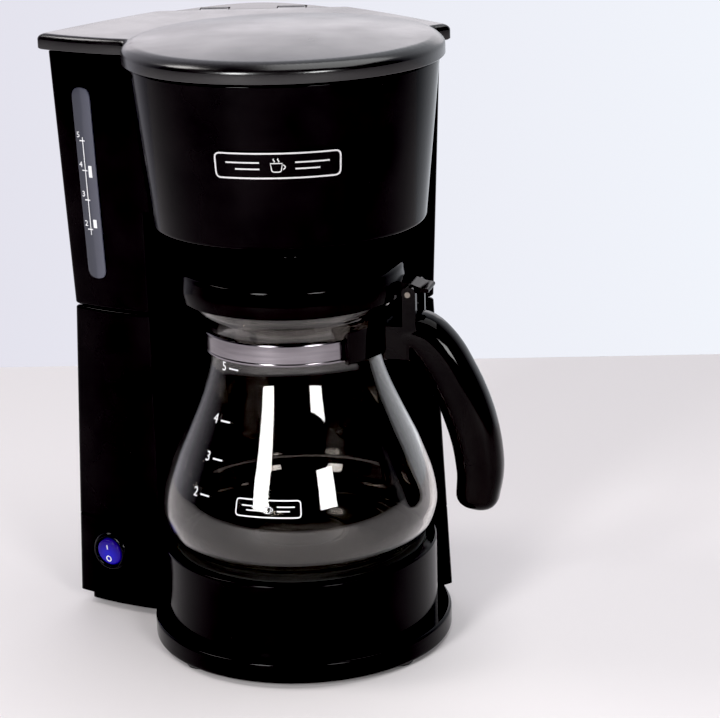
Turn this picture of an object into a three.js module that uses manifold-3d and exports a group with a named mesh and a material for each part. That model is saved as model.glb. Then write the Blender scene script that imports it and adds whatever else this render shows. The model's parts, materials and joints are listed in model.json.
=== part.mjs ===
// Drip coffee maker, five-cup size. Millimetres, +Z up.
// Everything is drawn about the vertical axis of the brewing drum. The last lines move
// the whole machine so that its origin is the middle of the bottom of its box.
import * as THREE from 'three';
import * as BufferGeometryUtils from 'three/addons/utils/BufferGeometryUtils.js';
import Module from 'manifold-3d';

const wasm = await Module();
wasm.setup();

// ---- driving dimensions -------------------------------------------------------------
const GAP = 0.3;                 // play between pieces that touch
const WALL = 2.5;                // moulded shell thickness

const TOWER_X = -18.5;           // middle of the tower, left of the drum's axis
const CORNER_Y = 31.8;           // the tower's two pointed sides lie behind the axis
const FRONT_Y = 5;               // foremost line of the tower's front arc
const REAR_Y = 110;
const NOSE_SHARE = 0.35;         // how wide the rounded back is, as a share of the half-width
const TOWER_BOTTOM_Z = 5.9;
const WAIST_Z = 138;             // the tower is slimmest here, where its halves meet
const TOWER_TOP_Z = 248;
const BOTTOM_HALF = 83.5;        // half-widths of the tower
const WAIST_HALF = 77.6;
const TOP_HALF = 82.3;

const NICHE_RADIUS = 62.5;       // hollow in the tower's front that the jug stands in
const DRUM_BOTTOM_Z = 182.3;
const DRUM_BOTTOM_RADIUS = 56.4;
const DRUM_TOP_RADIUS = 63;
const DRUM_FLOOR_Z = 184.5;

const BASE_RADIUS = 58;
const BASE_TOP_Z = 42.5;
const SHELF_Z = 38.9;            // step inside the base drum that carries the plate
const PLATE_RADIUS = 53.3;
const PLATE_Z = 41.7;
const FLANGE_RADIUS = 63.8;
const FLANGE_TOP_Z = 10.7;
const PLATE_FLOOR_Z = 1.8;       // underside of the bottom cover, above the table

const LID_HALF = 86.6;
const LID_RADIUS = 65.2;
const LID_SKIRT_Z = 248.6;
const LID_PLATE_Z = 255.2;       // top of the lid over the tower
const LID_RIM_Z = 256;           // top edge of the round part over the drum
const LID_CROWN_Z = 259.6;
const LID_REAR_Y = 87.5;
const HINGE_Y = 93;
const HINGE_Z = 251.3;
const HINGE_SPACING = 17;        // knuckles lie this far each side of the tower's middle

const KNUCKLE_HALF = 6;
const PIN_HALF = 9.6;

const JUG_Z = 43.3;              // the jug's foot on the warming plate
const JUG_TURN = -13;            // degrees: the handle points a little forward
const NECK_RADIUS = 40.4;
const BAND_LOW_Z = 129.1;
const BAND_HIGH_Z = 138.2;
const JUG_RIM_Z = 150.6;

const RISER_Y = 76;              // hot water rises here, behind the drum
const VALVE_TIP_Z = 177.9;       // the jug's lid holds the drip valve up to here

// ---- colours ------------------------------------------------------------------------
const paint = (color, roughness, metalness) =>
  new THREE.MeshStandardMaterial({ color, roughness, metalness });
const BLACK_GLOSS = () => paint(0x0c0b0c, 0.12, 0);
const BLACK_MATTE = () => paint(0x141414, 0.55, 0);
const WHITE_PLASTIC = () => paint(0xe6e4dc, 0.5, 0);
const RUBBER = () => paint(0x1c1c1c, 0.85, 0);
const SILICONE = () => paint(0xd9d6cf, 0.6, 0);
const STEEL = () => paint(0xc9c9cc, 0.22, 1);
const ALUMINIUM = () => paint(0xa9abae, 0.4, 1);
const COATED_STEEL = () => paint(0x1b1b1c, 0.35, 0.4);
const CLEAR = () => paint(0xdfe6e8, 0.05, 0);
const BLUE_LENS = () => paint(0x3b35d8, 0.2, 0);

// ---- solids -------------------------------------------------------------------------
function toManifold(geometry) {
  const bare = geometry.clone();
  bare.deleteAttribute('normal');
  bare.deleteAttribute('uv');
  const merged = BufferGeometryUtils.mergeVertices(bare, 1e-4);
  const corners = merged.index.array;
  const kept = [];
  for (let i = 0; i < corners.length; i += 3) {
    const [a, b, c] = [corners[i], corners[i + 1], corners[i + 2]];
    if (a !== b && b !== c && c !== a) kept.push(a, b, c);
  }
  return new wasm.Manifold(new wasm.Mesh({
    numProp: 3,
    vertProperties: new Float32Array(merged.attributes.position.array),
    triVerts: new Uint32Array(kept),
  }));
}

function toGeometry(manifold) {
  const mesh = manifold.getMesh();
  const geometry = new THREE.BufferGeometry();
  geometry.setAttribute('position', new THREE.BufferAttribute(new Float32Array(mesh.vertProperties), 3));
  geometry.setIndex(new THREE.BufferAttribute(new Uint32Array(mesh.triVerts), 1));
  return geometry;
}

const join = (...pieces) =>
  toGeometry(pieces.map(toManifold).reduce((whole, piece) => whole.add(piece)));
const cut = (whole, ...tools) =>
  toGeometry(tools.map(toManifold).reduce((rest, tool) => rest.subtract(tool), toManifold(whole)));
const common = (a, b) => toGeometry(toManifold(a).intersect(toManifold(b)));

// A closed profile of [radius, z] points, drawn anticlockwise, turned about the Z axis.
function turned(profile, segments = 40) {
  const points = profile.map(([r, z]) => new THREE.Vector2(r, z));
  const onAxis = profile[0][0] === 0 && profile[profile.length - 1][0] === 0;
  if (!onAxis) points.push(points[0].clone());
  return new THREE.LatheGeometry(points, segments).rotateX(Math.PI / 2);
}

function disc(radius, z0, z1, x = 0, y = 0, segments = 24) {
  return new THREE.CylinderGeometry(radius, radius, z1 - z0, segments)
    .rotateX(Math.PI / 2).translate(x, y, (z0 + z1) / 2);
}

// A cylinder along any direction, given by its two end points.
function rod(radius, from, to, segments = 16) {
  const start = new THREE.Vector3(...from);
  const along = new THREE.Vector3(...to).sub(start);
  const turn = new THREE.Quaternion().setFromUnitVectors(
    new THREE.Vector3(0, 1, 0), along.clone().normalize());
  const middle = start.clone().addScaledVector(along, 0.5);
  return new THREE.CylinderGeometry(radius, radius, along.length(), segments)
    .applyQuaternion(turn).translate(middle.x, middle.y, middle.z);
}

function box(x0, x1, y0, y1, z0, z1) {
  return new THREE.BoxGeometry(x1 - x0, y1 - y0, z1 - z0)
    .translate((x0 + x1) / 2, (y0 + y1) / 2, (z0 + z1) / 2);
}

function ring(outer, inner, z0, z1, x = 0, y = 0, segments = 32) {
  return turned([[inner, z0], [outer, z0], [outer, z1], [inner, z1]], segments).translate(x, y, 0);
}

function extruded(shape, z0, z1, curveSegments = 9) {
  return new THREE.ExtrudeGeometry(shape, {
    depth: z1 - z0, bevelEnabled: false, steps: 1, curveSegments,
  }).translate(0, 0, z0);
}

// A bar of round section along a smooth path through the given points.
function tube(radius, points, steps, sides = 10) {
  const section = new THREE.Shape().absarc(0, 0, radius, 0, 2 * Math.PI, false);
  const path = new THREE.CatmullRomCurve3(points.map((p) => new THREE.Vector3(...p)), false, 'centripetal');
  return new THREE.ExtrudeGeometry(section, {
    steps, extrudePath: path, bevelEnabled: false, curveSegments: sides / 2,
  });
}

function roundedRectangle(width, height, radius) {
  const [x, y] = [width / 2, height / 2];
  const shape = new THREE.Shape();
  shape.absarc(x - radius, y - radius, radius, 0, Math.PI / 2, false);
  shape.absarc(-x + radius, y - radius, radius, Math.PI / 2, Math.PI, false);
  shape.absarc(-x + radius, -y + radius, radius, Math.PI, 1.5 * Math.PI, false);
  shape.absarc(x - radius, -y + radius, radius, 1.5 * Math.PI, 2 * Math.PI, false);
  return shape;
}

// ---- the tower's plan: a shallow arc in front, a deep round nose behind --------------
function towerOutline(half, inset = 0) {
  const frontY = FRONT_Y + inset;
  const rearY = CORNER_Y + (REAR_Y - CORNER_Y) * half / TOP_HALF;
  const rise = CORNER_Y - frontY;
  const radius = (half * half + rise * rise) / (2 * rise);
  const sweep = Math.asin(half / radius);
  const noseX = NOSE_SHARE * half;
  const shape = new THREE.Shape();
  shape.absarc(TOWER_X, frontY + radius, radius, -Math.PI / 2 - sweep, -Math.PI / 2 + sweep, false);
  shape.quadraticCurveTo(TOWER_X + noseX, rearY, TOWER_X, rearY);
  shape.quadraticCurveTo(TOWER_X - noseX, rearY, TOWER_X - half, CORNER_Y);
  return shape;
}

// The tower between two heights, tapering between two half-widths. inset moves its walls inward.
function towerSolid(z0, half0, z1, half1, inset = 0) {
  const cornerInset = inset * 1.6;
  const base = half0 - cornerInset;
  const geometry = extruded(towerOutline(base, inset), z0, z1);
  const position = geometry.attributes.position;
  for (let i = 0; i < position.count; i++) {
    const share = (position.getZ(i) - z0) / (z1 - z0);
    const scale = 1 + share * ((half1 - cornerInset) / base - 1);
    position.setX(i, TOWER_X + (position.getX(i) - TOWER_X) * scale);
    const behind = position.getY(i) - CORNER_Y;
    if (behind > 0) position.setY(i, CORNER_Y + behind * scale);
  }
  return geometry;
}

const halfAt = (z) => (z > WAIST_Z
  ? WAIST_HALF + (TOP_HALF - WAIST_HALF) * (z - WAIST_Z) / (TOWER_TOP_Z - WAIST_Z)
  : BOTTOM_HALF + (WAIST_HALF - BOTTOM_HALF) * (z - TOWER_BOTTOM_Z) / (WAIST_Z - TOWER_BOTTOM_Z));
const towerPart = (z0, z1, inset) => towerSolid(z0, halfAt(z0), z1, halfAt(z1), inset);

const drumRadiusAt = (z) => DRUM_BOTTOM_RADIUS
  + (DRUM_TOP_RADIUS - DRUM_BOTTOM_RADIUS) * (z - DRUM_BOTTOM_Z) / (TOWER_TOP_Z - DRUM_BOTTOM_Z);

// The space in front of the tower that the drum and the jug take, grown by a margin.
function frontSpace(margin, floorZ) {
  const ceiling = DRUM_BOTTOM_Z - margin;
  return turned([[0, floorZ], [NICHE_RADIUS + margin, floorZ], [NICHE_RADIUS + margin, ceiling],
    [drumRadiusAt(ceiling) + GAP + margin, ceiling],
    [drumRadiusAt(TOWER_TOP_Z + 12) + GAP + margin, TOWER_TOP_Z + 12], [0, TOWER_TOP_Z + 12]], 36);
}

// A frame on the tower's left front flank: z up the wall, x along it, y straight into it.
function flankMatrix(offsetX, z, lean = 0) {
  const half = halfAt(z);
  const rise = CORNER_Y - FRONT_Y;
  const radius = (half * half + rise * rise) / (2 * rise);
  const angle = Math.asin(offsetX / radius);
  const y = FRONT_Y + radius * (1 - Math.cos(angle));
  return new THREE.Matrix4().makeTranslation(TOWER_X + offsetX, y, z)
    .multiply(new THREE.Matrix4().makeRotationZ(angle))
    .multiply(new THREE.Matrix4().makeRotationY(lean));
}

const machine = new THREE.Group();
function add(parent, name, geometry, material) {
  const mesh = new THREE.Mesh(geometry, material);
  mesh.name = name;
  parent.add(mesh);
}

// ---- water window and switch places on the left flank --------------------------------
const WINDOW = { x: -66.6, z: 192.6, width: 9.2, height: 82, lean: -0.03 };
const SWITCH = { x: -66.9, z: 27.5, radius: 8.4 };
const windowFrame = flankMatrix(WINDOW.x, WINDOW.z, WINDOW.lean);
const switchFrame = flankMatrix(SWITCH.x, SWITCH.z);

function windowPrism(grow) {
  const shape = roundedRectangle(WINDOW.width + 2 * grow, WINDOW.height + 2 * grow, 4.2 + grow);
  return new THREE.ExtrudeGeometry(shape, { depth: 14, bevelEnabled: false, curveSegments: 5 })
    .rotateX(Math.PI / 2).translate(0, 9, 0).applyMatrix4(windowFrame);
}

// ---- upper tower: the water tank -------------------------------------------------------
const TANK_BOTTOM_Z = WAIST_Z + GAP;
const TANK_FLOOR_Z = TANK_BOTTOM_Z + 3;
const OUTLET = [TOWER_X - 30, 72];       // where cold water leaves the tank
const CHANNEL_CUT = box(-12, 12, 30, 82, 240, 262);
const RAIL_TOP_Z = 254.5;

function reservoirHousing() {
  const railRegion = box(-120, 120, LID_REAR_Y + 1.3, 130, TOWER_TOP_Z - 1, RAIL_TOP_Z);
  const upright = extruded(towerOutline(TOP_HALF), TOWER_TOP_Z - 1, RAIL_TOP_Z);
  const rail = common(upright, railRegion);
  const hollow = cut(towerPart(TANK_FLOOR_Z, TOWER_TOP_Z + 12, WALL),
    frontSpace(WALL, TANK_FLOOR_Z - 40), railRegion);
  const notches = [-1, 1].map((side) => {
    const x = TOWER_X + side * HINGE_SPACING;
    return box(x - KNUCKLE_HALF - 0.6, x + KNUCKLE_HALF + 0.6, LID_REAR_Y - 2, HINGE_Y + 3.9,
      HINGE_Z - 3.9, RAIL_TOP_Z + 2);
  });
  const pinHole = rod(1.8, [TOWER_X - HINGE_SPACING - PIN_HALF - 0.4, HINGE_Y, HINGE_Z],
    [TOWER_X + HINGE_SPACING + PIN_HALF + 0.4, HINGE_Y, HINGE_Z], 12);
  const pinWeb = box(TOWER_X - HINGE_SPACING + PIN_HALF + 0.4, TOWER_X + HINGE_SPACING - PIN_HALF - 0.4,
    HINGE_Y - 3, HINGE_Y + 3, HINGE_Z - 3, HINGE_Z + 3);
  return cut(join(towerPart(TANK_BOTTOM_Z, TOWER_TOP_Z), rail),
    frontSpace(0, TANK_BOTTOM_Z - 20), hollow, CHANNEL_CUT, ...notches, cut(pinHole, pinWeb),
    windowPrism(GAP),
    disc(6.3, TANK_BOTTOM_Z - 1, TANK_FLOOR_Z + 1, OUTLET[0], OUTLET[1]),
    disc(8.3, TANK_BOTTOM_Z - 1, TANK_FLOOR_Z + 1, 0, RISER_Y));
}

function waterWindow() {
  const slab = cut(towerPart(150, 236, -0.5), towerPart(149, 237, WALL + 0.1));
  return common(slab, windowPrism(0));
}

// ---- lower tower and base drum, one moulding -------------------------------------------
const SCREW_PLACES = [
  [BASE_RADIUS * 0.445, -BASE_RADIUS * 0.77], [-BASE_RADIUS * 0.445, -BASE_RADIUS * 0.77],
  [TOWER_X - 22, 92.5], [TOWER_X + 22, 92.5],
];
const GLAND = { x: TOWER_X, y: 110.6, z: 22 };

function lowerHousing() {
  const outer = join(towerPart(TOWER_BOTTOM_Z, WAIST_Z - GAP), disc(BASE_RADIUS, 11, BASE_TOP_Z, 0, 0, 36));
  const nicheWall = disc(NICHE_RADIUS + WALL, SHELF_Z - 2.1, WAIST_Z + 10, 0, 0, 36);
  const columnHollow = cut(towerPart(TOWER_BOTTOM_Z - 2, WAIST_Z + 4, WALL), nicheWall);
  const drumHollow = disc(BASE_RADIUS - WALL, TOWER_BOTTOM_Z - 2, SHELF_Z - 2.1, 0, 0, 36);
  const shell = cut(outer, disc(NICHE_RADIUS, BASE_TOP_Z, WAIST_Z + 20, 0, 0, 36), columnHollow, drumHollow,
    disc(49, SHELF_Z - 4, SHELF_Z + 1, 0, 0, 36), disc(PLATE_RADIUS + 0.4, SHELF_Z, BASE_TOP_Z + 4, 0, 0, 36),
    rod(SWITCH.radius - 0.9, [0, -6, 0], [0, 9, 0], 24).applyMatrix4(switchFrame),
    rod(5.3, [GLAND.x, GLAND.y - 9, GLAND.z], [GLAND.x, GLAND.y + 9, GLAND.z], 16));
  const bosses = SCREW_PLACES.map(([x, y]) => disc(5, y < 0 ? 11 : TOWER_BOTTOM_Z, 22, x, y, 16));
  const bores = SCREW_PLACES.map(([x, y]) => disc(1.9, 5, 20, x, y, 12));
  return cut(join(shell, ...bosses), ...bores);
}

// ---- bottom cover, feet and screws -----------------------------------------------------
const FEET = [[-41, -38], [41, -38], [TOWER_X - 46, 58], [TOWER_X + 46, 58]];
const FOOT_RADIUS = 6.5;

function basePlate() {
  const flange = cut(disc(FLANGE_RADIUS, PLATE_FLOOR_Z, FLANGE_TOP_Z, 0, 0, 36),
    towerSolid(5.6, BOTTOM_HALF, 14, BOTTOM_HALF, -GAP * 1.5), disc(54, 5, 14, 0, 0, 36));
  const plinth = towerSolid(PLATE_FLOOR_Z, BOTTOM_HALF, 5.6, BOTTOM_HALF, 3.2);
  const vents = [];
  for (let row = 0; row < 2; row++) {
    for (let i = 0; i < 4; i++) {
      const y = row * 40 - 20 + i * 6;
      vents.push(box(-16, 16, y, y + 2.2, 0, 8));
    }
  }
  return cut(join(flange, plinth), ...vents,
    ...FEET.map(([x, y]) => disc(FOOT_RADIUS + GAP, 0, 3.8, x, y, 20)),
    ...SCREW_PLACES.map(([x, y]) => disc(3.6, 0, 3.8, x, y, 16)),
    ...SCREW_PLACES.map(([x, y]) => disc(1.9, 0, 14, x, y, 12)));
}

const foot = ([x, y]) => turned([[0, 0], [FOOT_RADIUS - 0.9, 0], [FOOT_RADIUS, 0.9],
  [FOOT_RADIUS, 3.5], [0, 3.5]], 14).translate(x, y, 0);

// A pan-head screw pointing up, its head's underside at z, with a slot across the head.
function screwUp(x, y, z, head, shank, length) {
  const whole = turned([[0, z - 1.6], [head * 0.8, z - 1.6], [head, z - 0.8], [head, z],
    [shank, z], [shank, z + length - 1.5], [shank * 0.4, z + length], [0, z + length]], 10);
  const slot = box(-head - 1, head + 1, -0.4, 0.4, z - 3, z - 1);
  return cut(whole, slot).translate(x, y, 0);
}

// ---- brewing drum, filter basket and drip valve -----------------------------------------
function basketHousing() {
  const inner = (z) => drumRadiusAt(z) - 2.4;
  const shell = turned([
    [24, DRUM_FLOOR_Z], [inner(DRUM_FLOOR_Z), DRUM_FLOOR_Z], [inner(DRUM_BOTTOM_Z), DRUM_BOTTOM_Z],
    [DRUM_BOTTOM_RADIUS, DRUM_BOTTOM_Z], [DRUM_TOP_RADIUS, TOWER_TOP_Z], [inner(TOWER_TOP_Z), TOWER_TOP_Z],
    [inner(239.7), 239.7], [56.5, 239.7], [56.5, 236], [inner(236), 236],
    [inner(DRUM_FLOOR_Z + 2.4), DRUM_FLOOR_Z + 2.4], [24, DRUM_FLOOR_Z + 2.4]], 36);
  return cut(shell, CHANNEL_CUT);
}

function filterBasket() {
  const cup = turned([
    [5.5, 190], [43, 190], [46, 193], [54, 240], [58.2, 240], [58.2, 241.8],
    [52.4, 241.8], [44.4, 194.2], [42.2, 191.8], [5.5, 191.8]], 36);
  const tabs = [-1, 1].map((side) => box(side < 0 ? -57.5 : 55.5, side < 0 ? -55.5 : 57.5, -9, 9, 241, 246));
  return join(cup, ...tabs);
}

const VALVE_HEAD_Z = 196;
const SEAT_Z = 186.2;

const valveSeat = () => ring(8.5, 5.3, SEAT_Z, 189.7, 0, 0, 24);
const valveSeal = () => ring(7.2, 4.3, VALVE_HEAD_Z - 1.6, VALVE_HEAD_Z - 0.3, 0, 0, 20);

function valveStem() {
  const collarZ = VALVE_TIP_Z + 1.1;
  return turned([[0, VALVE_TIP_Z], [3.2, VALVE_TIP_Z], [4, VALVE_TIP_Z + 0.8], [4, collarZ],
    [6.8, collarZ], [6.8, collarZ + 1.2], [4, collarZ + 1.2], [4, VALVE_HEAD_Z],
    [7.4, VALVE_HEAD_Z], [7.4, VALVE_HEAD_Z + 2], [0, VALVE_HEAD_Z + 2]], 14);
}

function valveSpring() {
  const [turns, perTurn, z0, z1] = [2.5, 10, VALVE_TIP_Z + 3.2, SEAT_Z - 0.9];
  const points = [];
  for (let i = 0; i <= turns * perTurn; i++) {
    const angle = i / perTurn * 2 * Math.PI;
    points.push([5.6 * Math.cos(angle), 5.6 * Math.sin(angle), z0 + (z1 - z0) * i / (turns * perTurn)]);
  }
  return tube(0.5, points, 30, 6);
}

// ---- lid -----------------------------------------------------------------------------------
function lidCover() {
  const plateOutline = (grow) => towerOutline(LID_HALF + grow, TOP_HALF - LID_HALF - grow);
  const crown = turned([[0, LID_SKIRT_Z], [LID_RADIUS, LID_SKIRT_Z], [LID_RADIUS, LID_RIM_Z - 1.2],
    [LID_RADIUS - 1.2, LID_RIM_Z], [44, LID_CROWN_Z - 1.1], [20, LID_CROWN_Z - 0.2], [0, LID_CROWN_Z]], 36);
  const outer = join(extruded(plateOutline(0), LID_SKIRT_Z, LID_PLATE_Z, 12), crown);
  const hollow = join(extruded(plateOutline(-3.2), LID_SKIRT_Z - 2, LID_PLATE_Z - 2.2, 12),
    disc(LID_RADIUS - 2.2, LID_SKIRT_Z - 2, LID_PLATE_Z - 2.2, 0, 0, 36));
  const behind = box(-140, 140, LID_REAR_Y, 140, 200, 300);
  const knuckles = [-1, 1].map((side) => {
    const x = TOWER_X + side * HINGE_SPACING;
    const barrel = rod(3, [x - KNUCKLE_HALF, HINGE_Y, HINGE_Z], [x + KNUCKLE_HALF, HINGE_Y, HINGE_Z], 16);
    const arm = box(x - KNUCKLE_HALF, x + KNUCKLE_HALF, LID_REAR_Y - 3, HINGE_Y,
      HINGE_Z - 0.6, HINGE_Z + 2.6);
    return join(barrel, arm);
  });
  const bore = rod(1.8, [TOWER_X - 40, HINGE_Y, HINGE_Z], [TOWER_X + 40, HINGE_Y, HINGE_Z], 12);
  return cut(join(cut(outer, hollow, behind), ...knuckles), bore);
}

function sprayHead() {
  const top = LID_PLATE_Z - 2.2 - GAP;
  const low = 247;
  const body = join(disc(24, low, top, 0, 0, 36), box(-8, 8, 15, RISER_Y + 7, low, top));
  const chamber = join(disc(22, low + 1.4, top - 1.4, 0, 0, 36),
    box(-6.4, 6.4, 12, RISER_Y + 5.4, low + 1.4, top - 1.4));
  const holes = [disc(1.2, low - 1, low + 3, 0, 0, 8)];
  for (let i = 0; i < 8; i++) {
    const angle = i * Math.PI / 4;
    holes.push(disc(1.2, low - 1, low + 3, 14 * Math.cos(angle), 14 * Math.sin(angle), 8));
  }
  return cut(body, chamber, disc(4.6, low - 1, low + 3, 0, RISER_Y, 16), ...holes);
}

// ---- warming plate, heater and water circuit ------------------------------------------------
const HEATER_Z = 36.4;
const HEATER_END_Y = 20;
const TUBE_BEND = 34;            // the water tube's bend, with the heating element inside it
const ELEMENT_BEND = 25;

const warmingPlate = () => turned([[0, PLATE_Z], [PLATE_RADIUS, PLATE_Z], [PLATE_RADIUS, PLATE_Z + 0.8],
  [PLATE_RADIUS - 0.8, PLATE_Z + 1.3], [0, PLATE_Z + 1.3]], 32);
const plateGasket = () => ring(53.4, 50, SHELF_Z + GAP, PLATE_Z - GAP, 0, 0, 32);

function horseshoe(bend, radius, reach) {
  const points = [[bend, reach, HEATER_Z], [bend, reach / 2, HEATER_Z]];
  for (let i = 0; i <= 8; i++) {
    const angle = -Math.PI * i / 8;
    points.push([bend * Math.cos(angle), bend * Math.sin(angle), HEATER_Z]);
  }
  points.push([-bend, reach / 2, HEATER_Z], [-bend, reach, HEATER_Z]);
  return tube(radius, points, 26, 8);
}

const clampBracket = () => cut(box(-40, 40, -6, 6, 30, 31.6), disc(2.3, 28, 34, 0, 0, 12));
const clampScrew = () => turned([[0, 27.4], [3.4, 27.4], [3.8, 28], [3.8, 29.6], [2, 29.6],
  [2, 41.3], [0, 41.3]], 12);
const thermostat = () => turned([[0, 34.6], [5, 34.6], [5, 36], [7.6, 36], [7.6, 41.3], [0, 41.3]], 14)
  .translate(0, -11.5, 0);
const thermalFuse = () => rod(2.1, [-9, 12, 38.4], [7, 12, 38.4], 10);

const COLD_TURN_Z = 47.4;        // the check valve stands between the two cold hoses
const coldHoseLower = () => tube(4.3, [[-TUBE_BEND, HEATER_END_Y + 1.3, HEATER_Z],
  [-TUBE_BEND, 25, 35.4], [-35, 34, 28.5], [-39, 48, 24], [-45, 63, 27],
  [OUTLET[0], OUTLET[1], 38], [OUTLET[0], OUTLET[1], COLD_TURN_Z]], 18, 8);
const checkValve = () => turned([[0, COLD_TURN_Z + GAP], [4.4, COLD_TURN_Z + GAP], [6.4, 50], [6.4, 57],
  [4.4, 59], [0, 59]], 18).translate(OUTLET[0], OUTLET[1], 0);
const coldHoseUpper = () => disc(4.3, 59.3, TANK_BOTTOM_Z - 1.8, OUTLET[0], OUTLET[1], 16);
const hotHose = () => tube(4.3, [[TUBE_BEND, HEATER_END_Y + 1.3, HEATER_Z], [TUBE_BEND, 25, 35.4],
  [33, 34, 28.5], [25, 50, 24], [10, 68, 30], [0, RISER_Y, 46], [0, RISER_Y, 90],
  [0, RISER_Y, TANK_BOTTOM_Z - 1.8]], 24, 8);

function grommet(bore, neck, place) {
  const low = TANK_BOTTOM_Z - GAP;
  const high = TANK_FLOOR_Z + GAP;
  return turned([[bore, low - 1.2], [neck + 2.3, low - 1.2], [neck + 2.3, low], [neck, low],
    [neck, high], [neck + 2.3, high], [neck + 2.3, high + 1.2], [bore, high + 1.2]], 14)
    .translate(...place, 0);
}

const SPOUT_Z = 246;
const riserTube = () => ring(5, 3.6, TANK_BOTTOM_Z - 1.2, 240.2, 0, RISER_Y, 20);
const outletSpout = () => turned([[5.3, 233], [7, 233], [7, 243], [4.2, SPOUT_Z], [2.8, SPOUT_Z],
  [2.8, 242.6], [5.3, 240.8]], 14).translate(0, RISER_Y, 0);

// ---- switch, cord gland and inner leads -------------------------------------------------------
const ROCKER_REST = 8 * Math.PI / 180;    // switched on, its lower half pressed in
const ROCKER_Y = -0.9;

const aboutWallAxis = (profile, segments) => turned(profile, segments).rotateX(Math.PI / 2);

const switchBezel = () => aboutWallAxis([[6.6, -2.6], [7.1, -2.6], [7.1, 0.7], [SWITCH.radius + 0.6, 0.7],
  [SWITCH.radius + 0.3, 1.7], [7.3, 2.3], [6.6, 2]], 20).applyMatrix4(switchFrame);

function switchRocker() {
  const dome = aboutWallAxis([[0, -1.5], [6.1, -1.5], [6.1, 1.1], [4, 1.45], [0, 1.6]], 18);
  return dome.rotateX(ROCKER_REST).translate(0, ROCKER_Y, 0).applyMatrix4(switchFrame);
}

function switchBody() {
  const barrel = rod(6.9, [0, 3, 0], [0, 17, 0], 20);
  const tabs = [-3.2, 3.2].map((z) => box(-2.4, 2.4, 16.5, 23, z - 0.5, z + 0.5));
  return join(barrel, ...tabs).applyMatrix4(switchFrame);
}

const cordGland = () => aboutWallAxis([[3.2, -11], [7.4, -11], [7.4, -6.8], [5, -6.8], [5, 0.6], [7.6, 0.6],
  [7.2, 2.4], [5.2, 9], [3.2, 9]], 16).rotateZ(Math.PI).translate(GLAND.x, GLAND.y, GLAND.z);

const mainsLead = () => tube(1.9, [[GLAND.x, GLAND.y - 11.6, GLAND.z], [GLAND.x - 2, GLAND.y - 18, 20],
  [-30, 82, 16], [-48, 72, 14.5], [-61, 60, 15], [-70, 48, 20], [-72.5, 41.5, 24]], 16, 6);
const heaterLead = () => tube(1.9, [[-68, 40, 29], [-60, 34, 22], [-44, 22, 18], [-22, 4, 20],
  [-6, -9, 26], [-1, -11.5, 33]], 14, 6);

// ---- badge -------------------------------------------------------------------------------------
const BADGE = { z: 216.8, width: 50.4, height: 11.2 };
function frontBadge() {
  const [z0, z1] = [BADGE.z - 9, BADGE.z + 9];
  const skin = turned([[drumRadiusAt(z0) + GAP, z0], [drumRadiusAt(z0) + 1, z0],
    [drumRadiusAt(z1) + 1, z1], [drumRadiusAt(z1) + GAP, z1]], 36);
  const stamp = new THREE.ExtrudeGeometry(roundedRectangle(BADGE.width, BADGE.height, 2.6),
    { depth: 40, bevelEnabled: false, curveSegments: 3 }).rotateX(Math.PI / 2).translate(0, -30, BADGE.z);
  return common(skin, stamp);
}

// ---- jug: drawn with its handle along +X, then turned --------------------------------------------
function jugGlass() {
  const outside = [[0, 45.2], [34, 44.4], [44, JUG_Z], [52, 46.4], [57, 52.5], [58.4, 59.2],
    [57.4, 68], [52, 85], [44.9, 104], [NECK_RADIUS, 124], [NECK_RADIUS, 138.8], [45, 147],
    [46, JUG_RIM_Z]];
  const inside = [[44.1, JUG_RIM_Z], [43.1, 147.4], [38.5, 139.4], [38.5, 124.2], [43, 104.4],
    [50.1, 85.2], [55.5, 68.2], [56.5, 59.4], [55.2, 53.6], [50.8, 48.6], [44, 46.2], [0, 47.2]];
  return turned([...outside, ...inside], 32);
}

const jugBand = () => ring(41.9, 40.8, BAND_LOW_Z, BAND_HIGH_Z, 0, 0, 36);

const HANDLE_PATH = [[47, 134.5], [55, 137], [62.5, 131.5], [69.3, 119], [74.3, 103], [77.3, 89],
  [78.8, 76], [77.6, 63]];
const HANDLE_DEPTH = 19.5;
function jugHandle() {
  const path = new THREE.CatmullRomCurve3(HANDLE_PATH.map(([r, z]) => new THREE.Vector3(r, 0, z)));
  const arm = new THREE.ExtrudeGeometry(roundedRectangle(HANDLE_DEPTH, HANDLE_DEPTH, 7),
    { steps: 14, extrudePath: path, bevelEnabled: false, curveSegments: 2 });
  const root = box(41, 52, -9.2, 9.2, 125, 141);
  const ears = [-1, 1].map((side) => {
    const [y0, y1] = side < 0 ? [-9.2, -6.5] : [6.5, 9.2];
    return box(48.8, 54.6, y0, y1, 138, JUG_LID_PIN.z + 3);
  });
  const pinHole = rod(1.5, [JUG_LID_PIN.r, -12, JUG_LID_PIN.z], [JUG_LID_PIN.r, 12, JUG_LID_PIN.z], 10);
  const lidRoom = box(36, 60, -6.5, 6.5, 146.5, 160);
  return cut(join(arm, root, ...ears), disc(42.3, 110, 143, 0, 0, 36), disc(46.5, 142.9, 170, 0, 0, 36),
    lidRoom, pinHole, disc(1.9, 110, 133, 47.2, 0, 10));
}

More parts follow.
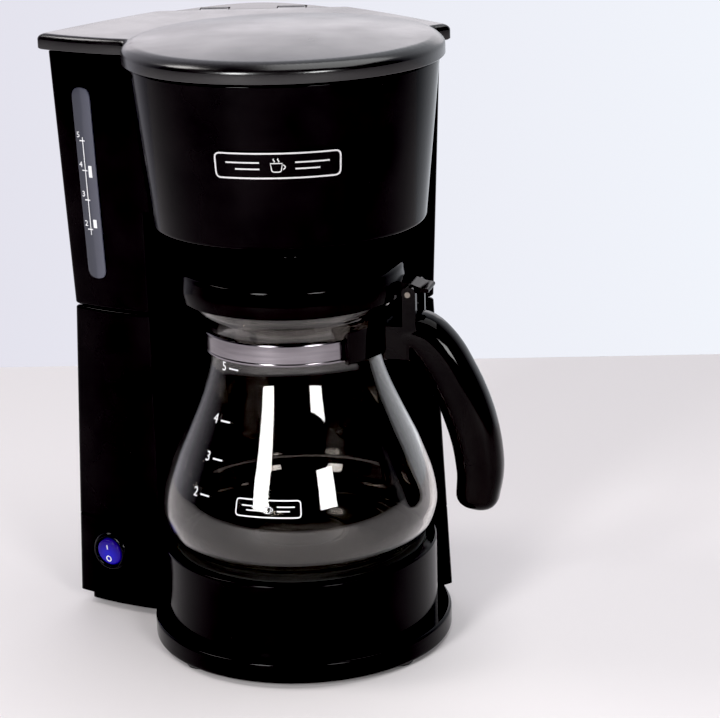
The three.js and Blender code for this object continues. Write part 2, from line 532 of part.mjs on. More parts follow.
const JUG_LID_PIN = { r: 51.4, z: 153.6 };
function jugLid() {
  const cap = turned([[0, 175.4], [5.6, 175.4], [5.6, 163.8], [14, 163.8], [27, 166], [37, 163],
    [45.2, 155], [45.2, JUG_RIM_Z + 0.6], [47, JUG_RIM_Z + 0.6], [47.5, 155.4],
    [44, 161.6], [37, 166], [27, 168.4], [14, 166.2], [8, 166.2],
    [8, VALVE_TIP_Z - GAP], [0, VALVE_TIP_Z - GAP]], 32);
  const arm = box(44, JUG_LID_PIN.r, -6, 6, JUG_LID_PIN.z - 1.4, JUG_LID_PIN.z + 2.6);
  const barrel = rod(2.6, [JUG_LID_PIN.r, -6, JUG_LID_PIN.z], [JUG_LID_PIN.r, 6, JUG_LID_PIN.z], 12);
  const lever = box(JUG_LID_PIN.r, 61, -6, 6, JUG_LID_PIN.z + 0.6, JUG_LID_PIN.z + 2.6);
  const slots = [0, 1, 2, 3].map((i) => disc(2, 160, 170,
    11 * Math.cos(i * Math.PI / 2), 11 * Math.sin(i * Math.PI / 2), 8));
  const pinHole = rod(1.5, [JUG_LID_PIN.r, -12, JUG_LID_PIN.z], [JUG_LID_PIN.r, 12, JUG_LID_PIN.z], 10);
  return cut(join(cap, cut(join(arm, lever), disc(45.4, 150, 158, 0, 0, 36)), barrel), pinHole, ...slots);
}
const jugLidPin = () => rod(1.2, [JUG_LID_PIN.r, -9.6, JUG_LID_PIN.z],
  [JUG_LID_PIN.r, 9.6, JUG_LID_PIN.z], 10);
const bandScrew = () => screwUp(47.2, 0, 124.7, 3.3, 1.5, 8);

// ---- assembly --------------------------------------------------------------------------------
add(machine, 'lower_housing', lowerHousing(), BLACK_GLOSS());
add(machine, 'reservoir_housing', reservoirHousing(), BLACK_GLOSS());
add(machine, 'basket_housing', basketHousing(), BLACK_GLOSS());
add(machine, 'base_plate', basePlate(), BLACK_GLOSS());
add(machine, 'water_window', waterWindow(), CLEAR());
add(machine, 'front_badge', frontBadge(), STEEL());
FEET.forEach((place, i) => add(machine, `foot_${i + 1}`, foot(place), RUBBER()));
SCREW_PLACES.forEach(([x, y], i) =>
  add(machine, `base_screw_${i + 1}`, screwUp(x, y, 3.5, 3.2, 1.5, 14), STEEL()));

add(machine, 'warming_plate', warmingPlate(), COATED_STEEL());
add(machine, 'plate_gasket', plateGasket(), SILICONE());
add(machine, 'heater_tube', horseshoe(TUBE_BEND, 4.4, HEATER_END_Y), ALUMINIUM());
add(machine, 'heater_element', horseshoe(ELEMENT_BEND, 4.1, HEATER_END_Y - 6), STEEL());
add(machine, 'clamp_bracket', clampBracket(), STEEL());
add(machine, 'clamp_screw', clampScrew(), STEEL());
add(machine, 'thermostat', thermostat(), WHITE_PLASTIC());
add(machine, 'thermal_fuse', thermalFuse(), STEEL());
add(machine, 'cold_hose_lower', coldHoseLower(), SILICONE());
add(machine, 'check_valve', checkValve(), WHITE_PLASTIC());
add(machine, 'cold_hose_upper', coldHoseUpper(), SILICONE());
add(machine, 'hot_hose', hotHose(), SILICONE());
add(machine, 'tank_grommet', grommet(3.3, 6, OUTLET), SILICONE());
add(machine, 'riser_grommet', grommet(5.3, 8, [0, RISER_Y]), SILICONE());
add(machine, 'riser_tube', riserTube(), WHITE_PLASTIC());
add(machine, 'outlet_spout', outletSpout(), WHITE_PLASTIC());

add(machine, 'switch_bezel', switchBezel(), BLACK_GLOSS());
add(machine, 'switch_body', switchBody(), BLACK_MATTE());
add(machine, 'switch_rocker', switchRocker(), BLUE_LENS());
add(machine, 'cord_gland', cordGland(), RUBBER());
add(machine, 'mains_lead', mainsLead(), RUBBER());
add(machine, 'heater_lead', heaterLead(), WHITE_PLASTIC());

add(machine, 'filter_basket', filterBasket(), BLACK_MATTE());
add(machine, 'valve_seat', valveSeat(), SILICONE());
add(machine, 'valve_spring', valveSpring(), STEEL());
add(machine, 'valve_stem', valveStem(), WHITE_PLASTIC());
add(machine, 'valve_seal', valveSeal(), SILICONE());

add(machine, 'lid_cover', lidCover(), BLACK_GLOSS());
add(machine, 'spray_head', sprayHead(), BLACK_MATTE());
[-1, 1].forEach((side) => {
  const x = TOWER_X + side * HINGE_SPACING;
  const pin = rod(1.4, [x - PIN_HALF, HINGE_Y, HINGE_Z], [x + PIN_HALF, HINGE_Y, HINGE_Z], 10);
  add(machine, side < 0 ? 'lid_pin_left' : 'lid_pin_right', pin, STEEL());
});

const jug = new THREE.Group();
jug.rotation.z = JUG_TURN * Math.PI / 180;
machine.add(jug);
add(jug, 'jug_glass', jugGlass(), CLEAR());
add(jug, 'jug_band', jugBand(), STEEL());
add(jug, 'jug_handle', jugHandle(), BLACK_GLOSS());
add(jug, 'band_screw', bandScrew(), STEEL());
add(jug, 'jug_lid', jugLid(), BLACK_GLOSS());
add(jug, 'jug_lid_pin', jugLidPin(), STEEL());

// Origin: the middle of the bottom of the machine's box.
machine.updateMatrixWorld(true);
const whole = new THREE.Box3().setFromObject(machine, true);
const middle = whole.getCenter(new THREE.Vector3());
machine.position.set(-middle.x, -middle.y, -whole.min.z);

export default machine;
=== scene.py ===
import json
import math

import bmesh
import bpy
import numpy as np
from mathutils import Matrix, Vector, geometry


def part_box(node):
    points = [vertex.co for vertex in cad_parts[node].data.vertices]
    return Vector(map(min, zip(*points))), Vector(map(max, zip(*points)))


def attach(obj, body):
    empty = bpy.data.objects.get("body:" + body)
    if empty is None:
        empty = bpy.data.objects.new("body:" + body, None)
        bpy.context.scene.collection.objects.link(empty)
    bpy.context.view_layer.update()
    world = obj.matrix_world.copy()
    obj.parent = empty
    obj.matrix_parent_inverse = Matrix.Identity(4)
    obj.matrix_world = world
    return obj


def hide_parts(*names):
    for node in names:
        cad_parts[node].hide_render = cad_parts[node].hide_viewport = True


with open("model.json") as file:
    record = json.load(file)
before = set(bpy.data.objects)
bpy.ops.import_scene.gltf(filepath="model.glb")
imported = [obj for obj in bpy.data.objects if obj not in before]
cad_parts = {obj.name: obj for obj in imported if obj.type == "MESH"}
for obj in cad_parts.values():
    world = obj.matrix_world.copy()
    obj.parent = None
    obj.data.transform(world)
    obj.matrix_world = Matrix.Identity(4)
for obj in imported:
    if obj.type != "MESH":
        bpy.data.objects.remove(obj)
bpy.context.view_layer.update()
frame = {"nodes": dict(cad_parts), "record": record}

# Sizes are in millimetres about the vertical axis of the brewing drum until a piece is made.
MM = 0.001
plate_low, plate_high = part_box("warming_plate")
AXIS = Vector(((plate_low.x + plate_high.x) / 2, (plate_low.y + plate_high.y) / 2, 0))


def z_of(node, end):
    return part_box(node)[end].z / MM


GAP = 0.3
WALL = 2.5
TOWER_X = (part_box("lower_housing")[0].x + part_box("lower_housing")[1].x) / 2 / MM - AXIS.x / MM
CORNER_Y = 31.8
FRONT_Y = 5
REAR_Y = 110
NOSE_SHARE = 0.35
SIDE_SHARE = 1.6  # how far the sides move in for each millimetre that the front does
TOWER_BOTTOM_Z = z_of("lower_housing", 0)
WAIST_Z = (z_of("lower_housing", 1) + z_of("reservoir_housing", 0)) / 2
TOWER_TOP_Z = z_of("basket_housing", 1)
BOTTOM_HALF = 83.5
WAIST_HALF = 77.6
TOP_HALF = 82.3
NICHE_RADIUS = 62.5
DRUM_BOTTOM_Z = z_of("basket_housing", 0)
DRUM_BOTTOM_RADIUS = 56.4
DRUM_TOP_RADIUS = 63
BASE_RADIUS = 58
BASE_TOP_Z = 42.5
SHELF_Z = 38.9
FLANGE_RADIUS = 63.8
FLANGE_TOP_Z = 10.7
LID_HALF = 86.6
LID_RADIUS = 65.2
LID_SKIRT_Z = 248.6
LID_PLATE_Z = 255.2
LID_CROWN_Z = z_of("lid_cover", 1)
LID_REAR_Y = 87.5
HINGE_Y = 93
HINGE_Z = 251.3
HINGE_SPACING = 17
RAIL_TOP_Z = z_of("reservoir_housing", 1)
JUG_TURN = math.radians(-13)


# ---- materials ----
FINISH = {}


def new_finish(name):
    FINISH[name] = made = bpy.data.materials.new(name)
    made.use_nodes = True
    return made.node_tree, made.node_tree.nodes["Principled BSDF"]


def feed(tree, node, sockets):
    """Sets a node's sockets. A value is a number, a colour or the output of another node."""
    for socket, value in sockets.items():
        if isinstance(value, bpy.types.NodeSocket):
            tree.links.new(value, node.inputs[socket])
        else:
            node.inputs[socket].default_value = value
    return node


def add(tree, kind, sockets=None, operation=None):
    made = tree.nodes.new("ShaderNode" + kind)
    if operation:
        made.operation = operation
    return feed(tree, made, sockets or {})


def noise(tree, scale, detail=3.0, stretch=None):
    """Noise on the piece's own coordinates, in features per metre."""
    place = add(tree, "TexCoord").outputs["Object"]
    if stretch:
        place = add(tree, "Mapping", {"Vector": place, "Scale": stretch}).outputs["Vector"]
    return add(tree, "TexNoise", {"Vector": place, "Scale": scale, "Detail": detail}).outputs["Fac"]


def ramp(tree, source, stops):
    made = add(tree, "ValToRGB", {"Fac": source})
    points = made.color_ramp.elements
    for at, (position, colour) in ((0, stops[0]), (1, stops[-1])):
        points[at].position, points[at].color = position, (*colour, 1)
    for position, colour in stops[1:-1]:
        points.new(position).color = (*colour, 1)
    return made.outputs["Color"]


def spread(tree, source, start, end, low=0.0, high=1.0):
    """Maps start..end to low..high."""
    return add(tree, "MapRange", {"Value": source, "From Min": start, "From Max": end, "To Min": low,
                                  "To Max": high}).outputs["Result"]


def multiply_add(tree, source, factor, added):
    return add(tree, "Math", {0: source, 1: factor, 2: added}, "MULTIPLY_ADD").outputs["Value"]


def relief(tree, source, strength, distance, under=None):
    sockets = {"Strength": strength, "Distance": distance, "Height": source}
    if under:
        sockets["Normal"] = under
    return add(tree, "Bump", sockets).outputs["Normal"]


def surface(name, dark, light, rough, bump=(900, 0.05), stretch=None, scratches=0.0, **sockets):
    """A finish whose colour, roughness and relief all vary over the piece."""
    tree, shader = new_finish(name)
    normal = relief(tree, noise(tree, bump[0], 2, stretch), bump[1], 0.0004)
    if scratches:
        normal = relief(tree, noise(tree, 60, 2, (1, 1, 26)), scratches, 0.0002, normal)
    feed(tree, shader, {
        "Base Color": ramp(tree, noise(tree, 40, 4, stretch), [(0.35, dark), (0.68, light)]),
        "Roughness": spread(tree, noise(tree, 30, 5, stretch), 0.35, 0.7, *rough),
        "Normal": normal, **{socket.replace("_", " "): value for socket, value in sockets.items()}})


def glass(name, colour, rough, wave):
    """Clear glass. Its shadow rays pass straight through, so that what stands behind it stays lit."""
    tree, shader = new_finish(name)
    film = noise(tree, 22, 4)
    feed(tree, shader, {
        "Transmission Weight": 1, "IOR": 1.47, "Specular IOR Level": 0.2,
        "Base Color": ramp(tree, film, [(0.3, colour), (0.7, tuple(c * 0.97 for c in colour))]),
        "Roughness": spread(tree, film, 0.45, 0.8, *rough),
        "Normal": relief(tree, noise(tree, 34, 1), wave, 0.002)})
    clear = add(tree, "BsdfTransparent", {"Color": (0.9, 0.9, 0.9, 1)})
    shadow = add(tree, "LightPath").outputs["Is Shadow Ray"]
    mix = add(tree, "MixShader", {"Fac": shadow, 1: shader.outputs["BSDF"], 2: clear.outputs["BSDF"]})
    tree.links.new(mix.outputs["Shader"], tree.nodes["Material Output"].inputs["Surface"])


surface("gloss_black_shell", (0.0022, 0.0019, 0.0022), (0.0045, 0.0038, 0.0042), (0.09, 0.15), bump=(700, 0.03),
        Specular_IOR_Level=0.08)
surface("gloss_black_lid", (0.003, 0.0026, 0.003), (0.007, 0.006, 0.0065), (0.19, 0.28), bump=(900, 0.05),
        Specular_IOR_Level=0.6)
surface("gloss_black_trim", (0.003, 0.003, 0.0035), (0.006, 0.006, 0.007), (0.12, 0.18), Specular_IOR_Level=0.12)
surface("gloss_black_handle", (0.0025, 0.002, 0.0022), (0.006, 0.005, 0.005), (0.06, 0.1), bump=(500, 0.008),
        Specular_IOR_Level=0.12)
surface("satin_black_cap", (0.0025, 0.002, 0.0022), (0.006, 0.005, 0.005), (0.1, 0.16), bump=(500, 0.03),
        Specular_IOR_Level=0.07)
surface("matte_black_plastic", (0.008, 0.008, 0.009), (0.018, 0.018, 0.018), (0.45, 0.6), bump=(1400, 0.35))
surface("white_plastic", (0.62, 0.6, 0.55), (0.74, 0.72, 0.67), (0.35, 0.5), bump=(900, 0.1), Subsurface_Weight=0.15,
        Subsurface_Scale=0.002)
surface("coated_plate", (0.004, 0.004, 0.004), (0.009, 0.0085, 0.008), (0.4, 0.6), bump=(2200, 0.25),
        Specular_IOR_Level=0.18)
surface("silicone", (0.55, 0.53, 0.49), (0.68, 0.66, 0.61), (0.4, 0.55), Subsurface_Weight=0.3,
        Subsurface_Scale=0.002)
surface("black_rubber", (0.012, 0.012, 0.012), (0.03, 0.03, 0.03), (0.6, 0.8), bump=(1800, 0.3))
surface("aluminium_tube", (0.42, 0.42, 0.43), (0.6, 0.6, 0.61), (0.32, 0.5), bump=(500, 0.3), Metallic=1.0)
surface("zinc_steel", (0.16, 0.14, 0.12), (0.26, 0.23, 0.2), (0.25, 0.4), bump=(900, 0.15), Metallic=1.0)
surface("spring_steel", (0.5, 0.5, 0.5), (0.68, 0.68, 0.68), (0.18, 0.3), Metallic=1.0)
surface("bright_steel", (0.2, 0.185, 0.2), (0.28, 0.26, 0.28), (0.1, 0.2), bump=(1200, 0.04), stretch=(1, 1, 14),
        scratches=0.04, Metallic=1.0)
glass("clear_glass", (0.93, 0.9, 0.87), (0.0, 0.012), 0.004)
surface("badge_print", (0.52, 0.51, 0.52), (0.66, 0.65, 0.66), (0.3, 0.42), bump=(1500, 0.08))
surface("white_print", (0.7, 0.7, 0.72), (0.86, 0.86, 0.88), (0.4, 0.55), bump=(2500, 0.1))


def window_finish():
    """Smoky plastic with painted light and shade: its colour is darker at the tower's corner side and lighter where the
    tank's wall lies behind it.
    """
    tree, shader = new_finish("smoky_window")
    low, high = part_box("water_window")
    lean, half_width = 0.031, 0.0038
    middle = (low.x + high.x) / 2 + lean * (low.z + high.z) / 2
    split = add(tree, "SeparateXYZ", {"Vector": add(tree, "TexCoord").outputs["Object"]}).outputs
    across = spread(tree, multiply_add(tree, split["Z"], lean, split["X"]), middle - half_width, middle + half_width)
    cloud = noise(tree, 70, 4, (1, 1, 0.4))
    feed(tree, shader, {
        # painted light and shade: the pane's colour runs from dark at the corner side to lighter across the pane
        "Base Color": ramp(tree, multiply_add(tree, cloud, 0.35, across), [
            (0.2, (0.035, 0.037, 0.05)), (0.5, (0.04, 0.042, 0.058)), (0.62, (0.06, 0.062, 0.082)),
            (1.0, (0.075, 0.078, 0.105))]),
        "Roughness": spread(tree, cloud, 0, 1, 0.14, 0.3)})


def lens_finish():
    """A translucent rocker lit from behind, brightest in its middle."""
    tree, shader = new_finish("blue_lens")
    low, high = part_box("switch_rocker")
    bright_spot = (low + high) / 2 + Vector((0, 0, -0.0012))
    place = add(tree, "TexCoord").outputs["Object"]
    off = add(tree, "VectorMath", {0: place, 1: bright_spot}, "DISTANCE").outputs["Value"]
    cloud = noise(tree, 260, 3)
    share = spread(tree, multiply_add(tree, cloud, 0.0022, off), 0.0015, 0.0075)
    feed(tree, shader, {
        "Emission Color": ramp(tree, share, [
            (0.0, (0.008, 0.03, 0.9)), (0.45, (0.02, 0.015, 0.66)), (1.0, (0.02, 0.003, 0.16))]),
        "Emission Strength": 0.45,
        "Base Color": ramp(tree, cloud, [(0.3, (0.012, 0.01, 0.1)), (0.7, (0.02, 0.014, 0.14))]),
        "Roughness": 0.16, "Specular IOR Level": 0.12})


window_finish()
lens_finish()


# ---- building blocks ----
def full_turn(count):
    return np.linspace(0, 2 * math.pi, count, endpoint=False)


def on_circle(radius, angles):
    return radius * np.column_stack((np.cos(angles), np.sin(angles)))


def at_height(line, z):
    return np.column_stack((line, np.full(len(line), z)))


def bend(a, b, c, t):
    """A point at t on the curve from a to c that leans towards b."""
    return (1 - t) ** 2 * a + 2 * t * (1 - t) * b + t ** 2 * c


def unit(rows):
    return rows / np.linalg.norm(rows, axis=1)[:, None]


def leftward(rows):
    return np.column_stack((-rows[:, 1], rows[:, 0]))


def make(name, points, faces):
    """A mesh object from points in millimetres about the drum's axis."""
    mesh = bpy.data.meshes.new(name)
    placed = np.asarray(points, float) * MM + np.array([AXIS.x, AXIS.y, 0])
    mesh.from_pydata([tuple(p) for p in placed], [], [tuple(int(i) for i in f) for f in faces])
    shape = bmesh.new()
    shape.from_mesh(mesh)
    bmesh.ops.remove_doubles(shape, verts=shape.verts, dist=1e-7)
    bmesh.ops.dissolve_degenerate(shape, dist=1e-7, edges=shape.edges)
    bmesh.ops.recalc_face_normals(shape, faces=shape.faces)
    shape.to_mesh(mesh)
    shape.free()
    made = bpy.data.objects.new(name, mesh)
    bpy.context.scene.collection.objects.link(made)
    return made


def loft(name, rings, caps=True, close=False):
    """Joins rings of the same number of points, one above the other. close joins the last to the first."""
    count = len(rings[0])
    steps = len(rings) if close else len(rings) - 1
    faces = []
    for k in range(steps):
        low, high = k * count, (k + 1) % len(rings) * count
        for i in range(count):
            j = (i + 1) % count
            faces.append((low + i, low + j, high + j, high + i))
    if caps and not close:
        faces.append(tuple(reversed(range(count))))
        faces.append(tuple(range((len(rings) - 1) * count, len(rings) * count)))
    return make(name, np.vstack(rings), faces)


def turned(name, profile, segments=144, centre=(0, 0)):
    """A profile of [radius, z] points turned about a vertical axis."""
    rings = [at_height(np.array(centre) + on_circle(r, full_turn(segments)), z) for r, z in profile]
    return loft(name, rings, caps=False, close=True)


def fillet(points, radius, steps=5, closed=True):
    """Rounds the corners of a polyline. radius is one number, or one for each point."""
    points = [np.array(p, float) for p in points]
    count = len(points)
    radii = radius if hasattr(radius, "__len__") else [radius] * count
    made = []
    for i, here in enumerate(points):
        if radii[i] <= 0 or (not closed and i in (0, count - 1)):
            made.append(here)
            continue
        before, after = points[i - 1] - here, points[(i + 1) % count] - here
        start = here + before * min(radii[i] / np.linalg.norm(before), 0.48)
        end = here + after * min(radii[i] / np.linalg.norm(after), 0.48)
        made += [bend(start, here, end, t) for t in np.linspace(0, 1, steps + 1)]
    return np.array(made)


def smooth_curve(points, count):
    """A Catmull-Rom curve through the points, evenly sampled."""
    points = np.array(points, float)
    ends = np.vstack((2 * points[0] - points[1], points, 2 * points[-1] - points[-2]))
    dense = []
    for i in range(len(points) - 1):
        a, b, c, d = ends[i:i + 4]
        for t in np.linspace(0, 1, 24, endpoint=False):
            dense.append(0.5 * (2 * b + (c - a) * t + (2 * a - 5 * b + 4 * c - d) * t ** 2
                                + (3 * b - a - 3 * c + d) * t ** 3))
    dense.append(points[-1])
    return resample(np.array(dense), count)


def resample(line, count, cut_start=0.0, cut_end=0.0):
    lengths = np.concatenate(([0], np.cumsum(np.linalg.norm(np.diff(line, axis=0), axis=1))))
    places = np.linspace(cut_start, lengths[-1] - cut_end, count)
    return np.column_stack([np.interp(places, lengths, line[:, k]) for k in range(line.shape[1])])


def walked(outline, count):
    """Even steps round a closed outline."""
    return resample(np.vstack((outline, outline[:1])), count)[:-1]


def filled(ring, inner):
    """Triangles over a closed outline, with more points inside it, and where the outline's points went."""
    flat = [Vector(p) for p in ring] + [Vector(p) for p in inner]
    out, _, faces, origin, _, _ = geometry.delaunay_2d_cdt(flat, [], [list(range(len(ring)))], 1, 1e-6)
    order = {}
    for i, source in enumerate(origin):
        for s in source:
            order[s] = i
    return out, faces, [order[i] for i in range(len(ring))]


def skinned(name, rings, outline, inner, place):
    """Rings joined in order, with a flat end at the first and a skin with inner points over the last.

    outline is the last ring in the skin's own plane, and place(x, y) puts a point of that plane on the piece.
    """
    points, faces, order = filled(outline, inner)
    count = len(outline)
    everything = list(np.vstack(rings))
    start = len(everything) - count
    number = {order[i]: start + i for i in range(count)}
    for i, p in enumerate(points):
        if i not in number:
            number[i] = len(everything)
            everything.append(place(p.x, p.y))
    made = [tuple(reversed(range(count)))]
    for k in range(len(rings) - 1):
        for i in range(count):
            j = (i + 1) % count
            made.append((k * count + i, k * count + j, (k + 1) * count + j, (k + 1) * count + i))
    made += [tuple(number[i] for i in f) for f in faces]
    return make(name, everything, made)


def combine(whole, tool, how):
    """Adds the tool to, or cuts it from, the whole."""
    change = whole.modifiers.new("combine", "BOOLEAN")
    change.operation = how
    change.solver = "EXACT"
    change.object = tool
    bpy.context.view_layer.update()
    graph = bpy.context.evaluated_depsgraph_get()
    result = bpy.data.meshes.new_from_object(whole.evaluated_get(graph))
    whole.modifiers.clear()
    whole.data = result
    bpy.data.objects.remove(tool)
    return whole


def merge(first, *others):
    """Puts several closed bodies into one piece."""
    shape = bmesh.new()
    for part in (first, *others):
        shape.from_mesh(part.data)
    shape.to_mesh(first.data)
    shape.free()
    for part in others:
        bpy.data.objects.remove(part)
    return first


def block(x0, x1, y0, y1, z0, z1, edge=0.0):
    """A box with softly rounded upright edges."""
    corners = np.array([[x0, y0], [x1, y0], [x1, y1], [x0, y1]], float)
    outline = fillet(corners, edge, 4) if edge else corners
    rings = []
    lip = min(edge, (z1 - z0) / 3) * 0.5
    middle = outline.mean(0)
    for z, inset in ((z0, lip), (z0 + lip, 0), (z1 - lip, 0), (z1, lip)) if edge else ((z0, 0), (z1, 0)):
        span = np.maximum(np.abs(outline - middle).max(0), 1e-6)
        rings.append(at_height(middle + (outline - middle) * (1 - inset / span), z))
    return loft("block", rings)


def turn_local(piece, angle):
    """Turns a piece about the drum's axis."""
    move = Matrix.Translation(AXIS) @ Matrix.Rotation(angle, 4, "Z") @ Matrix.Translation(-AXIS)
    piece.data.transform(move)
    return piece


def done(piece, finish, body, replaced=(), sharp=32):
    """Shades a piece, gives it its finish, and lets it ride on its body."""
    mesh = piece.data
    mesh.materials.clear()
    mesh.materials.append(FINISH[finish])
    for face in mesh.polygons:
        face.material_index = 0
    mesh.shade_smooth()
    mesh.set_sharp_from_angle(angle=math.radians(sharp))
    weights = piece.modifiers.new("normals", "WEIGHTED_NORMAL")
    weights.keep_sharp = True
    weights.weight = 60
    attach(piece, body)
    if replaced:
        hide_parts(*replaced)
    return piece


# ---- the tower's plan ----
def front_radius(half, front=FRONT_Y):
    """The radius of the tower's curved front."""
    rise = CORNER_Y - front
    return (half * half + rise * rise) / (2 * rise)


def front_y(x, half, front):
    radius = front_radius(half, front)
    return front + radius - math.sqrt(max(radius * radius - (x - TOWER_X) ** 2, 0))


def front_line(x, half, front):
    return np.column_stack((x, [front_y(v, half, front) for v in x]))


def meeting_x(half, front, circle, side):
    """Where the front arc crosses a circle about the drum's axis, left (-1) or right (1)."""
    near, far = 0.0, TOWER_X + side * half
    for _ in range(50):
        middle = (near + far) / 2
        if math.hypot(middle, front_y(middle, half, front)) < circle:
            near = middle
        else:
            far = middle
    return near


def plan(half, front, z, circle=None, bulge=False, rear=None, corner=2.2, joint=1.4):
    """One ring of the tower. circle is cut out of its front, or with bulge added to it."""
    left, right = TOWER_X - half, TOWER_X + half
    rear_y = CORNER_Y + (REAR_Y - CORNER_Y) * half / TOP_HALF
    nose = NOSE_SHARE * half
    t = np.linspace(0, 1, 80)[:, None]
    curve = [bend(np.array(a), np.array(b), np.array(c), t) for a, b, c in (
        ((right, CORNER_Y), (TOWER_X + nose, rear_y), (TOWER_X, rear_y)),
        ((TOWER_X, rear_y), (TOWER_X - nose, rear_y), (left, CORNER_Y)))]
    back = np.vstack((curve[0], curve[1][1:]))
    if rear is not None:
        back[:, 1] = np.minimum(back[:, 1], rear)
    if circle is None:
        x = np.linspace(left, right, 160)
        sides = [(front_line(x, half, front), 100), (back, 120)]
        cuts = [corner, corner]
    else:
        x0, x1 = meeting_x(half, front, circle, -1), meeting_x(half, front, circle, 1)
        a0 = math.atan2(front_y(x0, half, front), x0)
        a1 = math.atan2(front_y(x1, half, front), x1)
        sweep = np.linspace(a0, a1 + 2 * math.pi if bulge else a1, 240)
        sides = [(front_line(np.linspace(left, x0, 60), half, front), 26), (on_circle(circle, sweep), 110),
                 (front_line(np.linspace(x1, right, 40), half, front), 12), (back, 120)]
        cuts = [joint, joint, corner, corner]
    ring = []
    for i, (line, count) in enumerate(sides):
        piece = resample(line, count, cuts[i - 1], cuts[i])
        following = sides[(i + 1) % len(sides)][0]
        start = resample(following, 2, cuts[i], 0)[0]
        t = np.linspace(0, 1, 8)[1:-1, None]
        ring += [piece, bend(piece[-1], line[-1], start, t)]
    return at_height(np.vstack(ring), z)


def half_at(z):
    if z > WAIST_Z:
        return WAIST_HALF + (TOP_HALF - WAIST_HALF) * (z - WAIST_Z) / (TOWER_TOP_Z - WAIST_Z)
    return BOTTOM_HALF + (WAIST_HALF - BOTTOM_HALF) * (z - TOWER_BOTTOM_Z) / (WAIST_Z - TOWER_BOTTOM_Z)


def drum_radius(z):
    return DRUM_BOTTOM_RADIUS + (DRUM_TOP_RADIUS - DRUM_BOTTOM_RADIUS) * (z - DRUM_BOTTOM_Z) / (
        TOWER_TOP_Z - DRUM_BOTTOM_Z)


def wall_ring(z, inset, circle, bulge=False):
    return plan(half_at(z) - SIDE_SHARE * inset, FRONT_Y + inset, z, circle, bulge)


def rounded_levels(z0, z1, edge, low=True, high=True, between=2):
    """Heights with the inset that rounds the two ends of a wall."""
    turn = [math.pi / 2 * k / 4 for k in range(5)]
    levels = [(z0 + edge * (1 - math.cos(a)), edge * (1 - math.sin(a))) for a in turn] if low else [(z0, 0.0)]
    levels += [(z0 + (z1 - z0) * k / (between + 1), 0.0) for k in range(1, between + 1)]
    levels += [(z1 - edge * (1 - math.sin(a)), edge * (1 - math.cos(a))) for a in turn] if high else [(z1, 0.0)]
    return levels


# ---- water tank: the upper half of the tower ----
def notched(piece):
    """Cuts the channel through the wall between the tank and the drum, under the lid."""
    return combine(piece, block(-12, 12, 30, 82, 240, 262), "DIFFERENCE")


def tank():
    low, top = WAIST_Z + GAP, TOWER_TOP_Z
    floor = low + 3
    outer = []
    for z, inset in rounded_levels(low, DRUM_BOTTOM_Z - GAP, 1.1, high=False, between=6):
        outer.append(wall_ring(z, inset, NICHE_RADIUS + inset))
    for z, inset in rounded_levels(DRUM_BOTTOM_Z - GAP, top, 0.7, low=False, between=8):
        outer.append(wall_ring(z, inset, drum_radius(z) + GAP + inset))
    inner = []
    ledge = DRUM_BOTTOM_Z - WALL
    for z in (top, top - 3, 230, 215, 200, ledge):
        inner.append(wall_ring(z, WALL, drum_radius(z) + GAP + WALL))
    for z in (ledge, 165, 150, floor):
        inner.append(wall_ring(z, WALL, NICHE_RADIUS + WALL))
    return done(notched(loft("tank", outer + inner)), "gloss_black_shell", "machine", replaced=["reservoir_housing"])


def hinge_rail():
    """The raised edge behind the lid, with a notch for each knuckle of the hinge."""
    start, edge = LID_REAR_Y + 1.3, 1.2
    rings = []
    for z, inset in rounded_levels(TOWER_TOP_Z + 0.02, RAIL_TOP_Z, edge, low=False, between=1):
        ring = plan(TOP_HALF - SIDE_SHARE * inset, FRONT_Y, z)
        ring = ring[ring[:, 1] > start + inset]
        rings.append(resample(ring[np.argsort(-ring[:, 0])], 60))
    rail = loft("hinge_rail", rings)
    for side in (-1, 1):
        x = TOWER_X + side * HINGE_SPACING
        rail = combine(rail, block(x - 6.6, x + 6.6, LID_REAR_Y - 2, HINGE_Y + 3.9, HINGE_Z - 3.9,
                                   RAIL_TOP_Z + 2), "DIFFERENCE")
    return done(rail, "gloss_black_shell", "machine")


# ---- lower half of the tower with the base drum ----
def lower():
    top = WAIST_Z - GAP
    deck_under = SHELF_Z - 2.1
    inner = [wall_ring(z, WALL, NICHE_RADIUS + WALL) for z in (top - 2, 100, 70, deck_under)]
    inner += [wall_ring(z, WALL, BASE_RADIUS - WALL, True) for z in (deck_under, 25, 12, TOWER_BOTTOM_Z)]
    outer = [wall_ring(z, i, BASE_RADIUS - i, True)
             for z, i in rounded_levels(TOWER_BOTTOM_Z, BASE_TOP_Z, 0.9, low=False, between=5)]
    outer += [wall_ring(z, i, NICHE_RADIUS + i)
              for z, i in rounded_levels(BASE_TOP_Z, top, 1.1, low=False, between=8)]
    body = loft("lower_tower", inner + outer)
    recess = turned("recess", [[0, SHELF_Z], [53.7, SHELF_Z], [53.7, 44], [0, 44]], 144)
    body = combine(body, recess, "DIFFERENCE")
    return done(body, "gloss_black_shell", "machine", replaced=["lower_housing"])


SCREWS = [(25.81, -44.66), (-25.81, -44.66), (TOWER_X - 22, 92.5), (TOWER_X + 22, 92.5)]
FEET = [(-41, -38), (41, -38), (TOWER_X - 46, 58), (TOWER_X + 46, 58)]


